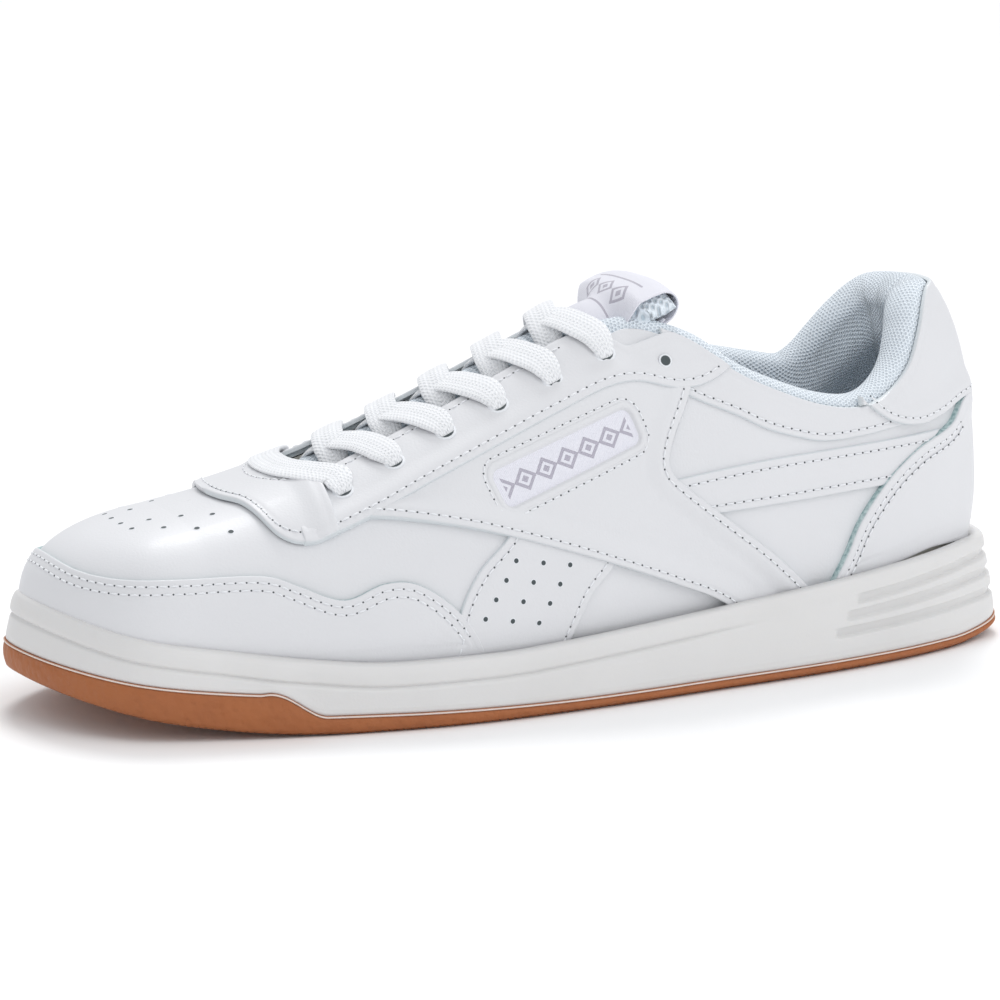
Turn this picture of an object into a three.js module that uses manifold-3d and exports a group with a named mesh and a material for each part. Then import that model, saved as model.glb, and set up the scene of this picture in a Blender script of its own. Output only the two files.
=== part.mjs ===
// A low court shoe for the left foot: a stitched leather upper with a padded collar and tongue,
// standing in a white rubber cup with a gum outsole. Millimetres, +Z up, toe towards -X, the outer
// (lateral) side towards -Y. The origin is on the floor, under the middle of the sole.
import * as THREE from 'three';
import { mergeVertices } from 'three/addons/utils/BufferGeometryUtils.js';
import Module from 'manifold-3d';

const wasm = await Module();
wasm.setup();

// ---------------------------------------------------------------- driving dimensions (mm)
const LENGTH = 300;            // outsole, heel to toe
const WIDTH = 104.7;           // outsole at the ball of the foot
const UPPER_HEIGHT = 118;      // crest of the last above the floor
const TOE_SPRING = 12;         // lift of the toe tip
const BED_SPRING = 8.4;        // lift of the foot bed at the toe tip
const HEEL_SPRING = 3.6;       // lift of the heel edge
const OUTSOLE_THICK = 3.6;     // gum sheet along the middle and the heel
const TOE_BUMPER = 8;          // extra height of the gum round the toe
const BUMPER_TAPER = 3.6;      // less of it at the toe tip
const BUMPER_END = -88;        // where the bumper steps down
const BUMPER_WALL = 2.4;       // thickness of the bumper round the toe
const CUP_FLOOR = 2.5;         // rubber under the foam
const CUP_WALL_FORE = 17;      // top of the cup's wall at the forefoot
const CUP_WALL_TOE = 34;       // and at the toe tip
const CUP_WALL_HEEL = 31;      // and at the heel
const CUP_LEAN = 4.6;          // inward lean of the cup's wall
const STACK_FORE = 13;         // underside of the foot bed at the forefoot
const STACK_HEEL = 20;         // and at the heel
const BOARD_THICK = 1.8;
const SOCKLINER_THICK = 4;
const LEATHER = 1.2;
const STIFFENER = 1;
const LINING = 0.8;
const COLLAR_PAD = 7;          // foam in the collar roll
const TONGUE_WIDTH = 46;       // at the lower laces
const COLLAR_GAPE = 45.6;      // width of the last between the collar's ends, over the tongue's free end
const TONGUE_FOAM = 4.2;
const THROAT_WIDTH = 26;       // slot between the two eyestays
const EYELET_RADIUS = 2.5;
const EYELET_SETBACK = 9;      // from the throat edge
const FREE_EYELET_RADIUS = 1.5;
const LACE_WIDTH = 8;
const LACE_THICK = 1.4;
const GAP = 0.3;               // clearance between touching pieces

// Pieces are drawn at the sample size and graded to the size above, as shoe patterns are.
const SAMPLE = { length: 300, height: 118 };
const GRADE_X = LENGTH / SAMPLE.length;
const GRADE_Z = UPPER_HEIGHT / SAMPLE.height;

// ---------------------------------------------------------------- solids
function toSolid(geometry) {
  const bare = geometry.clone();
  bare.deleteAttribute('normal');
  bare.deleteAttribute('uv');
  const merged = mergeVertices(bare, 1e-4);
  const vertProperties = new Float32Array(merged.attributes.position.array);
  const triVerts = [];
  for (let i = 0; i < merged.index.count; i += 3) {
    const [a, b, c] = [0, 1, 2].map((k) => merged.index.getX(i + k));
    if (a !== b && b !== c && c !== a) triVerts.push(a, b, c);
  }
  const mesh = new wasm.Mesh({ numProp: 3, vertProperties, triVerts: new Uint32Array(triVerts) });
  return new wasm.Manifold(mesh);
}

function toGeometry(solid) {
  const mesh = solid.getMesh();
  const geometry = new THREE.BufferGeometry();
  geometry.setAttribute('position', new THREE.BufferAttribute(mesh.vertProperties, 3));
  geometry.setIndex(new THREE.BufferAttribute(mesh.triVerts, 1));
  geometry.computeVertexNormals();
  return geometry;
}

// The largest body of a cut solid, without the crumbs a grazing cut leaves.
function mainBody(solid) {
  const bodies = solid.decompose();
  return bodies.reduce((best, body) => (body.volume() > best.volume() ? body : best), bodies[0]);
}

// Rows of points joined into one closed body. Rows run the same way round; each row is a closed ring,
// and the first and last rows are closed by rungs from point i to point count - i.
function loftGeometry(rows, closeTop = true) {
  const count = rows[0].length;
  const positions = rows.flat().flatMap((p) => [p.x, p.y, p.z]);
  const index = [];
  const quad = (a, b, c, d) => index.push(a, b, c, a, c, d);
  for (let j = 0; j + 1 < rows.length; j++) {
    for (let i = 0; i < count; i++) {
      const n = (i + 1) % count;
      quad(j * count + n, j * count + i, (j + 1) * count + i, (j + 1) * count + n);
    }
  }
  const cap = (base, up) => {
    for (let i = 0; i < count / 2; i++) {
      const [a, b] = [base + i, base + i + 1];
      const [c, d] = [base + ((count - i - 1) % count), base + ((count - i) % count)];
      if (up) quad(a, d, c, b);
      else quad(a, b, c, d);
    }
  };
  cap(0, false);
  if (closeTop) cap((rows.length - 1) * count, true);
  const geometry = new THREE.BufferGeometry();
  geometry.setAttribute('position', new THREE.Float32BufferAttribute(positions, 3));
  geometry.setIndex(index);
  return geometry;
}

// ---------------------------------------------------------------- curves
// Value at x of the smooth line through knots [x, value], level beyond its ends.
function smooth(x, knots) {
  const last = knots.length - 1;
  const t = Math.min(Math.max(x, knots[0][0]), knots[last][0]);
  let i = 0;
  while (i < last - 1 && t > knots[i + 1][0]) i++;
  const slope = (k) => {
    const [a, b] = [knots[Math.max(k - 1, 0)], knots[Math.min(k + 1, last)]];
    return (b[1] - a[1]) / (b[0] - a[0]);
  };
  const h = knots[i + 1][0] - knots[i][0];
  const s = (t - knots[i][0]) / h;
  const [p, q] = [knots[i][1], knots[i + 1][1]];
  const leaving = s * h * slope(i) * (1 - s) ** 2;
  const arriving = slope(i + 1) * h * s * s * (1 - s);
  return p + leaving + (q - p) * s * s * (3 - 2 * s) - arriving;
}

const graded = (knots) => knots.map(([x, z]) => [x * GRADE_X, z * GRADE_Z]);
const along = (knots) => knots.map(([x, v]) => [x * GRADE_X, v]);

// A smooth open line through [x, z] points, as an array of [x, z].
function smoothLine(points, steps = 2) {
  const flat = points.map(([x, z]) => new THREE.Vector3(x, z, 0));
  const curve = new THREE.CatmullRomCurve3(flat, false, 'centripetal');
  return curve.getPoints(steps * (points.length - 1)).map((p) => [p.x, p.y]);
}

// ---------------------------------------------------------------- the sole's outline
// Shape of the outline: heel centre, outer side, toe, inner side; 1 is half the length or half the width.
const OUTLINE = [
  [1, 0.06], [0.973, -0.27], [0.887, -0.44], [0.733, -0.62], [0.533, -0.755], [0.267, -0.86], [0, -0.958],
  [-0.267, -1], [-0.5, -0.925], [-0.7, -0.8], [-0.867, -0.625], [-0.967, -0.23], [-1, 0.25], [-0.967, 0.52],
  [-0.867, 0.79], [-0.7, 0.943], [-0.5, 1], [-0.267, 0.923], [0, 0.77], [0.267, 0.695], [0.533, 0.723],
  [0.733, 0.742], [0.887, 0.628], [0.973, 0.37],
];
const outlineCurve = new THREE.CatmullRomCurve3(
  OUTLINE.map(([x, y]) => new THREE.Vector3((x * LENGTH) / 2, (y * WIDTH) / 2, 0)), true, 'centripetal');
outlineCurve.arcLengthDivisions = 1200;
const outlineBox = new THREE.Box3().setFromPoints(outlineCurve.getSpacedPoints(1200));
const outlineCentre = outlineBox.getCenter(new THREE.Vector3());

// Point of the outline at share a of its length, moved inwards by inset.
function footprint(a, inset = 0) {
  const u = ((a % 1) + 1) % 1;
  const point = outlineCurve.getPointAt(u).sub(outlineCentre);
  const tangent = outlineCurve.getTangentAt(u);
  return point.add(new THREE.Vector3(-tangent.y, tangent.x, 0).multiplyScalar(-inset));
}

const tipShare = (x) => (Math.max(0, -70 * GRADE_X - x) / (80 * GRADE_X)) ** 2;
const heelLift = (x) => HEEL_SPRING * (Math.max(0, x - 125 * GRADE_X) / (25 * GRADE_X)) ** 2;
const floorLift = (x) => TOE_SPRING * tipShare(x) + heelLift(x);
const rimRise = (x) => smooth(x, along([[-98, 0], [-84, 1.8], [-52, 1.2], [-10, 0.2], [20, 0]]));
const BUMPER_RUN = 6;          // half the length of its step
const bumper = (x) => (TOE_BUMPER - BUMPER_TAPER * tipShare(x))
  * THREE.MathUtils.smoothstep(BUMPER_END * GRADE_X - x, -BUMPER_RUN, BUMPER_RUN);
const gumTop = (x) => floorLift(x) + OUTSOLE_THICK + bumper(x) + rimRise(x);
const cupTop = (x) => smooth(x, along([[-150, CUP_WALL_TOE], [-132, CUP_WALL_FORE + 11.5],
  [-105, CUP_WALL_FORE + 6.8], [-85, CUP_WALL_FORE + 3.6], [-65, CUP_WALL_FORE + 1.4], [-40, CUP_WALL_FORE + 1.2],
  [-20, CUP_WALL_FORE + 1.5], [60, CUP_WALL_HEEL - 7], [150, CUP_WALL_HEEL]]));
const bedHeight = (x) => Math.min(BED_SPRING * tipShare(x) + heelLift(x), BED_SPRING)
  + smooth(x, along([[-70, STACK_FORE], [0, STACK_FORE + 2], [60, STACK_HEEL - 2], [120, STACK_HEEL], [150, STACK_HEEL - HEEL_SPRING]]));

// ---------------------------------------------------------------- the last (the form of the foot)
const TOE_CENTRE = -106 * GRADE_X;    // the sections fan out from here round the toe
const HEEL_CENTRE = 100 * GRADE_X;    // and from here round the heel
const TOE_SLOPE = 0.16;
const crest = (x) => smooth(x, graded([[-106, 54.5], [-90, 58], [-75, 62.5], [-60, 68], [-35, 79.5], [-10, 92.5],
  [15, 105], [40, 114.5], [60, 118], [80, 117], [100, 115]]));
const crestSide = (x) => smooth(x, along([[-106, 9.4], [-75, 5.4], [-40, 1.4], [0, -1.6], [40, -0.6], [100, 3.4]]));
const fullness = (x) => smooth(x, along([[-150, 4], [-106, 3.2], [-75, 2.7], [-40, 2.4], [0, 2.2], [80, 2.3], [105, 2.6],
  [125, 3], [150, 3]]));
const featherInset = (x) => smooth(x, along([[-150, 5.2], [-120, 6.2], [-80, 7.4], [150, 7.8]]));
const FEATHER_TUCK = 3;               // the upper turns in under the foot at its lower edge

// Share of the outline's length at which it reaches the toe tip.
const TIP = Array.from({ length: 400 }, (_, k) => 0.4 + k * 0.0005)
  .reduce((best, a) => (footprint(a).x < footprint(best).x ? a : best));

function feather(a) {
  const x = footprint(a).x;
  return footprint(a, featherInset(x));
}

// Shares of the outline's length where the last has its sections: mirror stations share one x between
// the two fans, so that the sections of both sides meet on the crest.
function stations() {
  const heelSteps = 4;
  const middleSteps = 12;
  const toeSteps = 4;
  const shareAt = (x, from, to) => {
    let [low, high] = [from, to];
    for (let k = 0; k < 40; k++) {
      const mid = (low + high) / 2;
      if (feather(mid).x > x) low = mid;
      else high = mid;
    }
    return low;
  };
  const side = (start, end) => {
    const list = [];
    const heelEnd = shareAt(HEEL_CENTRE, start, end);
    const toeStart = shareAt(TOE_CENTRE, start, end);
    for (let k = 0; k < heelSteps; k++) list.push(start + ((heelEnd - start) * k) / heelSteps);
    for (let k = 0; k <= middleSteps; k++) {
      list.push(shareAt(HEEL_CENTRE + ((TOE_CENTRE - HEEL_CENTRE) * k) / middleSteps, start, end));
    }
    for (let k = 1; k < toeSteps; k++) list.push(toeStart + ((end - toeStart) * k) / toeSteps);
    return list;
  };
  const outer = side(0, TIP);
  const inner = side(1, TIP);
  return [...outer, TIP, ...inner.slice(1).reverse()];
}
const STATIONS = stations();

// A section of the last is a superellipse from the feather line to the crest.
function lastPoint(base, theta) {
  const x = THREE.MathUtils.clamp(base.x, TOE_CENTRE, HEEL_CENTRE);
  const [dx, dy] = [x - base.x, crestSide(x) - base.y];
  const reach = Math.hypot(dx, dy);
  const n = fullness(base.x);
  const bed = bedHeight(base.x);
  const run = 1 - Math.cos(theta) ** (2 / n);
  const rise = Math.sin(theta) ** (2 / n);
  const slope = TOE_SLOPE * Math.max(dx / reach, 0) * reach;
  const tuck = (FEATHER_TUCK * Math.max(0, 1 - theta / 0.16) ** 2) / reach;
  return new THREE.Vector3(base.x + dx * (run + tuck), base.y + dy * (run + tuck),
    bed + (crest(x) - bed - slope) * rise + slope * run);
}

const THETAS = [0, 0.1, 0.32, 0.65, 0.92, 1.16, 1.38, Math.PI / 2];
const lastRows = THETAS.map((theta) => STATIONS.map((a) => lastPoint(feather(a), theta)));
lastRows[THETAS.length - 1].forEach((p, i, row) => {
  const mate = row[(row.length - i) % row.length];
  p.copy(i <= row.length / 2 ? p : mate);
});

// Outward directions of the last's surface at every point of its rows.
function rowNormals(rows) {
  const geometry = mergeVertices(loftGeometry(rows, false), 1e-4);
  const count = rows[0].length;
  const open = geometry.index.array.slice(0, (rows.length - 1) * count * 6);
  geometry.setIndex(new THREE.BufferAttribute(open, 1));
  geometry.computeVertexNormals();
  const [position, normal] = [geometry.attributes.position, geometry.attributes.normal];
  const found = new Map();
  const key = (x, y, z) => [x, y, z].map((v) => Math.round(v * 1000)).join();
  for (let i = 0; i < position.count; i++) {
    found.set(key(position.getX(i), position.getY(i), position.getZ(i)),
      new THREE.Vector3().fromBufferAttribute(normal, i));
  }
  return rows.map((row) => row.map((p) => found.get(key(...p.toArray().map(Math.fround)))));
}
const lastNormals = rowNormals(lastRows);

// The last grown outwards by offset (a number or a function of the point), with a skirt below its
// lower edge when another solid is to be opened by it.
function lastSolid(offset, skirt = 0) {
  const grow = typeof offset === 'function' ? offset : () => offset;
  const grown = (p, j, i) => p.clone().addScaledVector(lastNormals[j][i], grow(p));
  const rows = lastRows.map((row, j) => row.map((p, i) => grown(p, j, i)));
  if (skirt > 0) rows.unshift(rows[0].map((p) => new THREE.Vector3(p.x, p.y, p.z - skirt)));
  return toSolid(loftGeometry(rows, false));
}

// Depths of the layers of the upper, measured outwards from the outer face of its main leather.
const COVER_OUT = GAP + LEATHER;
const STIFF_OUT = -LEATHER - GAP;
const LINING_OUT = STIFF_OUT - STIFFENER - GAP;
const LINING_IN = LINING_OUT - LINING;
const layer = (inner, outer) => lastSolid(outer).subtract(lastSolid(inner, 5));
const coverLayer = layer(GAP, COVER_OUT);
const mainLayer = layer(-LEATHER, 0);
const stiffLayer = layer(STIFF_OUT - STIFFENER, STIFF_OUT);

// ---------------------------------------------------------------- cutters
const FAR = 400;

// Side-view outline [x, z] run across the shoe from y0 to y1.
function sideCut(points, y0 = -FAR, y1 = FAR) {
  const shape = new THREE.Shape(points.map(([x, z]) => new THREE.Vector2(x, z)));
  const geometry = new THREE.ExtrudeGeometry(shape, { depth: y1 - y0, bevelEnabled: false });
  geometry.rotateX(Math.PI / 2);
  geometry.translate(0, y1, 0);
  return toSolid(geometry);
}

// Top-view outline [x, y] run upwards.
function topCut(points) {
  const shape = new THREE.Shape(points.map(([x, y]) => new THREE.Vector2(x, y)));
  const geometry = new THREE.ExtrudeGeometry(shape, { depth: FAR, bevelEnabled: false });
  return toSolid(geometry);
}

// Everything above or below a side-view line that runs from toe to heel.
const above = (line) => sideCut([...line, [line[line.length - 1][0], FAR], [line[0][0], FAR]]);
const below = (line) => sideCut([...line, [line[line.length - 1][0], -FAR / 4], [line[0][0], -FAR / 4]]);
const shifted = (line, dx, dz) => line.map(([x, z]) => [x + dx, z + dz]);

// The outer and inner halves of the shoe, parted along the crest.
function halfCut(side, gap) {
  const spine = [];
  for (let x = -200; x <= 200; x += 20) spine.push([x, crestSide(x * GRADE_X) + side * gap]);
  return topCut([...spine.map(([x, y]) => [x * GRADE_X, y]), [FAR, side * FAR], [-FAR, side * FAR]]);
}
const MERGE = 0.1;             // overlap of two halves that become one piece
const bothSides = (outerSolid, innerSolid) => outerSolid.intersect(halfCut(-1, 0))
  .add(innerSolid.intersect(halfCut(1, -MERGE)));

// ---------------------------------------------------------------- pattern lines
const collarOuter = smoothLine(graded([[9, 99], [16, 101], [25, 101.5], [33, 99], [40, 95.8], [52, 87], [66, 80.4],
  [80, 75.5], [92, 73.7], [99, 75], [106, 78.5], [112, 84], [117, 93], [120.5, 100], [124, 104], [130, 105.5],
  [160, 108]]), 1);
const collarInner = smoothLine(graded([[9, 94], [16, 95.5], [25, 95.5], [33, 93], [40, 91.5], [52, 87.5], [66, 84],
  [80, 81], [92, 79], [98, 82], [104, 88.5], [110, 95.5], [116, 101], [121, 104], [130, 105.5], [160, 108]]), 1);
const eyestayEdge = smoothLine(graded([[-97, 60], [-91, 59], [-88.5, 55], [-85, 50.5], [-78, 49.2], [-69, 52],
  [-57, 56.6], [-43, 62.8], [-27, 69.5], [-4, 79], [13, 85.3], [21, 86], [33, 83.5], [42, 84.5], [53, 90], [60, 96]]));
const eyestayEdgeInner = smoothLine(graded([[-97, 60], [-91, 59], [-88.5, 55], [-85, 50.5], [-78, 48.2], [-69, 50],
  [-57, 53.6], [-43, 58.3], [-27, 64], [-4, 72], [13, 77.3], [21, 78], [33, 76.5], [42, 78], [53, 84], [60, 91]]));
const guardEdge = smoothLine(graded([[-170, 46], [-142, 46], [-136, 42.8], [-115, 42.3], [-91, 42], [-84, 39.5],
  [-72, 35.3], [-61, 38.8], [-54, 38.9], [-48, 36.3], [-40, 29.5], [-33, 19], [-30, 5]]));
const saddleFront = smoothLine(graded([[-70, 55], [-54, 54.6], [-36, 51.7], [-20, 47.4], [3, 39.8], [27, 30.7],
  [43, 24], [60, 12]]));
const saddleRear = smoothLine(graded([[39, 90], [35.5, 81.7], [29.5, 71.4], [27, 65], [27.5, 61.5], [31, 58],
  [43.5, 48.3], [63.6, 33.1], [78, 20], [90, 6]]));
const foxingEdge = smoothLine(graded([[146, 76], [134, 71.7], [128, 65.2], [114, 60], [104, 54.2], [96, 47.2],
  [90, 40], [86, 32], [81, 22], [78, 5]]));
const heelTabEdge = smoothLine(graded([[91, 79], [95, 74], [102, 69], [108, 67], [115, 66.3], [124, 68.2],
  [134, 71.5], [160, 73]]));
const collarSeam = smoothLine(graded([[30, 85], [37, 81], [50.7, 75.1], [60.4, 70.4], [71.7, 66.9], [79, 65.3],
  [92, 65.3], [110, 67], [130, 68]]));
const vampSeam = smoothLine(graded([[-62, 120], [-58, 70], [-48, 50], [-30, 34], [-20, 18], [-16, -20]]));
const frontStrapFore = smoothLine(graded([[-22, 62], [-24, 49], [-34, 40], [-40, 30], [-43, 16], [-44, -5]]));
const frontStrapRear = smoothLine(graded([[12, 48], [8, 38.5], [0, 30], [-6, 18], [-9, -5]]));
const rearStrapTop = smoothLine(graded([[20, 58.5], [30, 59.5], [60, 62], [90, 63], [120, 63.5]]));
const rearStrapFoot = smoothLine(graded([[20, 48.5], [42, 48.5], [70, 49.5], [100, 50.5], [120, 51]]));

const opening = bothSides(above(collarOuter), above(collarInner));
const half = THROAT_WIDTH / 2;
const throatLine = (side, grow) => smoothLine([[-78 - grow, 0], [-76 - grow / 2, half * 0.72], [-69, half + 1.5 + grow],
  [-58, half + 1 + grow], [-30, half + grow], [-6, half - 1 + grow], [8, half + grow], [20, half + 8 + grow]]
  .map(([x, v]) => [x * GRADE_X, crestSide(x * GRADE_X) + side * v]));
const throatCut = (grow = 0) => topCut(
  [...throatLine(-1, grow), ...throatLine(1, grow).reverse().slice(0, -1)]);
const throat = throatCut().add(opening);
const liningThroat = throatCut(2).add(opening);

// ---------------------------------------------------------------- eyelets
// Height of the outer face of the upper at x, off the crest by v (outer side negative).
function topPoint(x, v, offset = 0) {
  const surface = (px, pv) => {
    const side = pv < 0 ? -1 : 1;
    const base = sideBase(px, side);
    const reach = Math.abs(crestSide(px) - base.y);
    const n = fullness(base.x);
    const run = Math.min(Math.abs(pv) / reach, 1);
    const rise = Math.max(0, 1 - run ** n) ** (1 / n);
    const bed = bedHeight(px);
    return new THREE.Vector3(px, crestSide(px) + pv, bed + (crest(px) - bed) * rise);
  };
  const at = surface(x, v);
  const step = 0.5;
  const normal = new THREE.Vector3().crossVectors(
    surface(x + step, v).sub(surface(x - step, v)), surface(x, v + step).sub(surface(x, v - step))).normalize();
  return { point: at.addScaledVector(normal, offset), normal };
}

// Point of the feather line at x on one side.
function sideBase(x, side) {
  let [low, high] = side < 0 ? [0, TIP] : [1, TIP];
  for (let k = 0; k < 30; k++) {
    const mid = (low + high) / 2;
    if (feather(mid).x > x) low = mid;
    else high = mid;
  }
  return feather(low);
}

const ROWS = [-65, -49.5, -34, -18.5, -2.5, 13.5].map((x) => x * GRADE_X);
const eyeletOffset = half + EYELET_SETBACK;
const FREE_EYELET = { x: 30 * GRADE_X, v: half + EYELET_SETBACK + 3 };

function drill(x, v, radius) {
  const { point, normal } = topPoint(x, v);
  const cylinder = new THREE.CylinderGeometry(radius, radius, 24, 6);
  cylinder.applyQuaternion(new THREE.Quaternion().setFromUnitVectors(new THREE.Vector3(0, 1, 0), normal));
  cylinder.translate(point.x, point.y, point.z);
  return toSolid(cylinder);
}
const holes = [-1, 1].flatMap((side) => [
  ...ROWS.map((x) => drill(x, side * eyeletOffset, EYELET_RADIUS)),
  drill(FREE_EYELET.x, side * FREE_EYELET.v, FREE_EYELET_RADIUS),
]).reduce((all, hole) => all.add(hole));

const SIDES = {
  outer: { half: halfCut(-1, GAP), eyestay: eyestayEdge, window: true },
  inner: { half: halfCut(1, GAP), eyestay: eyestayEdgeInner, window: false },
};

// ---------------------------------------------------------------- sole unit
const ring = (inset, height) => STATIONS.map((a) => {
  const p = footprint(a, typeof inset === 'function' ? inset(footprint(a).x) : inset);
  return new THREE.Vector3(p.x, p.y, height(p.x));
});

const sheetTop = (x) => floorLift(x) + OUTSOLE_THICK;
const outsoleSolid = (grow) => toSolid(loftGeometry([
  ring(3 - grow, (x) => floorLift(x) - grow),
  ring(0.8 - grow, (x) => floorLift(x) + 1),
  ring(-grow, (x) => gumTop(x) - 0.8),
  ring(0.6 - grow, (x) => gumTop(x) + grow),
  ring(BUMPER_WALL + grow, (x) => gumTop(x) + grow),
  ring(BUMPER_WALL + 0.6 + grow, (x) => sheetTop(x) + grow),
]));
const outsole = () => outsoleSolid(0);


const cupsole = () => {
  const lean = (share) => (x) => CUP_LEAN * share * (x < -110 * GRADE_X ? 0.85 : 1);
  const wallAt = (share) => (x) => gumTop(x) + GAP + (cupTop(x) - gumTop(x) - GAP) * share;
  const blank = toSolid(loftGeometry([
    ring(0.4, (x) => sheetTop(x) + GAP),
    ring(0.4, (x) => gumTop(x) + 1),
    ring(lean(0.35), wallAt(0.45)),
    ring(lean(0.75), wallAt(0.8)),
    ring(lean(0.95), (x) => cupTop(x) - 0.9),
    ring((x) => lean(1)(x) + 0.8, cupTop),
  ]));
  const floorSpace = toSolid(loftGeometry([
    ring(14, (x) => sheetTop(x) + GAP + CUP_FLOOR),
    ring(14, (x) => bedHeight(x) + 3),
  ]));
  return mainBody(blank.subtract(outsoleSolid(GAP)).subtract(lastSolid(COVER_OUT + GAP)).subtract(floorSpace));
};

const midsoleFoam = () => toSolid(loftGeometry([
  ring(14 + GAP, (x) => sheetTop(x) + 2 * GAP + CUP_FLOOR),
  ring(14 + GAP, (x) => bedHeight(x) - GAP),
]));

const footBed = (from, to) => {
  const level = (height) => ring(2, (x) => bedHeight(x) + height);
  const slab = toSolid(loftGeometry([level(from), level(to)]));
  return mainBody(slab.intersect(lastSolid(LINING_IN - GAP)));
};
const insoleBoard = () => footBed(0, BOARD_THICK);
const sockliner = () => footBed(BOARD_THICK + GAP, BOARD_THICK + GAP + SOCKLINER_THICK);

// ---------------------------------------------------------------- inner layers of the upper
const beside = (line, x, y0, y1) => sideCut([...line, [x, line[line.length - 1][1]], [x, line[0][1]]], y0, y1);
const frontOf = (line, y0, y1) => beside(line, -FAR, y0, y1);
const behind = (line, y0, y1) => beside(line, FAR, y0, y1);

// Thickness of the collar's foam: full along the top edge, running out towards the sole and the instep.
const collarPad = (p) => {
  const level = smooth(p.x, graded([[9, 100], [33, 99], [52, 88], [66, 82], [80, 78], [92, 76], [106, 82], [112, 89],
    [117, 97], [124, 104], [135, 107]]));
  const down = THREE.MathUtils.smoothstep(p.z, level - 42 * GRADE_Z, level - 8);
  const back = THREE.MathUtils.smoothstep(p.x, 26 * GRADE_X, 60 * GRADE_X);
  return COLLAR_PAD * down * back;
};

// Everything more than depth below the collar's edge.
const underCollar = (depth) => bothSides(
  below(shifted(collarOuter, 0, -depth)), below(shifted(collarInner, 0, -depth)));
const COLLAR_TURN = LINING + 1.2;   // the lining turns over the foam's top here

const collarFront = smoothLine(graded([[9, 160], [9, 60], [9, -30]]));
const liningSplit = smoothLine(graded([[-8, 140], [-8, 60], [-8, -20]]));
const vampLining = () => mainBody(layer(LINING_IN, LINING_OUT)
  .intersect(frontOf(shifted(liningSplit, -GAP, 0))).subtract(liningThroat).subtract(holes));

const collarLining = () => {
  const skin = lastSolid(STIFF_OUT).subtract(lastSolid((p) => LINING_IN - collarPad(p), 5));
  const pocket = lastSolid(COVER_OUT).subtract(lastSolid((p) => LINING_OUT - collarPad(p), 5));
  const reach = underCollar(COLLAR_TURN);
  const front = frontOf(collarFront);
  return mainBody(skin.subtract(pocket.intersect(reach.add(front)))
    .intersect(behind(liningSplit)).subtract(liningThroat).subtract(holes));
};

const collarFoam = () => {
  const inner = (p) => LINING_OUT - collarPad(p) + GAP;
  const body = lastSolid(STIFF_OUT).subtract(lastSolid(inner, 5));
  const top = underCollar(COLLAR_TURN + GAP);
  const foot = above(smoothLine(graded([[40, 96], [48, 76], [70, 62], [95, 61.5], [160, 61.5]])));
  return mainBody(body.intersect(top).intersect(foot).subtract(opening));
};

const toePuff = () => mainBody(stiffLayer
  .intersect(frontOf(smoothLine(graded([[-112, 90], [-112, 40], [-96, 0]])))));
const heelCounter = () => mainBody(stiffLayer
  .intersect(behind(smoothLine(graded([[112, 90], [100, 50], [70, 20], [62, 0]]))))
  .intersect(below(smoothLine(graded([[30, 58], [110, 58], [170, 58]])))));

const eyestayBacking = (side) => mainBody(stiffLayer.intersect(above(shifted(side.eyestay, 0, 3)))
  .intersect(behind(smoothLine(graded([[-74, 140], [-74, 20]]))))
  .intersect(frontOf(smoothLine(graded([[38, 140], [38, 20]]))))
  .intersect(underCollar(COLLAR_TURN + GAP).add(frontOf(collarFront)))
  .intersect(side.half).subtract(liningThroat).subtract(holes));

// ---------------------------------------------------------------- main leather
const VENT_PITCH = 9.5;
const VENT_RADIUS = 0.8;
const ventPlaces = [-1, 1].flatMap((side) => [
  ...[0, 1, 2, 3].map((k) => [-119 + k * 7.5, side * (12.5 + k * 5.8)]),
  ...[0, 1, 2, 3].map((k) => [-120 + k * 7.2, side * (4.2 + k * 4.6)]),
]);

const vamp = () => {
  const vents = ventPlaces.map(([x, v]) => {
    const cylinder = new THREE.CylinderGeometry(VENT_RADIUS, VENT_RADIUS, 60, 4);
    cylinder.rotateX(Math.PI / 2);
    cylinder.translate(x * GRADE_X, 7.5 + v, 60 * GRADE_Z);
    return toSolid(cylinder);
  }).reduce((all, vent) => all.add(vent));
  return mainBody(mainLayer.intersect(frontOf(shifted(vampSeam, -GAP, 0))).subtract(throat).subtract(holes)
    .subtract(vents));
};
const quarter = (side) => mainBody(mainLayer.intersect(behind(vampSeam)).intersect(side.half)
  .subtract(throat).subtract(holes));

// ---------------------------------------------------------------- leather overlays
const bridgeSeam = smoothLine(graded([[-78, 140], [-78, 66], [-76, 60], [-72, 52], [-70, 40]]));

const eyestay = (side) => mainBody(coverLayer.intersect(above(side.eyestay)).intersect(behind(bridgeSeam))
  .intersect(side.half).subtract(throat).subtract(holes).subtract(above(shifted(collarSeam, 0, -GAP))
    .intersect(behind(smoothLine(graded([[56, 140], [52, 88], [36, 80], [36, 60]]))))));
const throatBridge = () => mainBody(coverLayer.intersect(bothSides(above(eyestayEdge), above(eyestayEdgeInner)))
  .intersect(frontOf(shifted(bridgeSeam, -GAP, 0))).subtract(throat));

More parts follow.
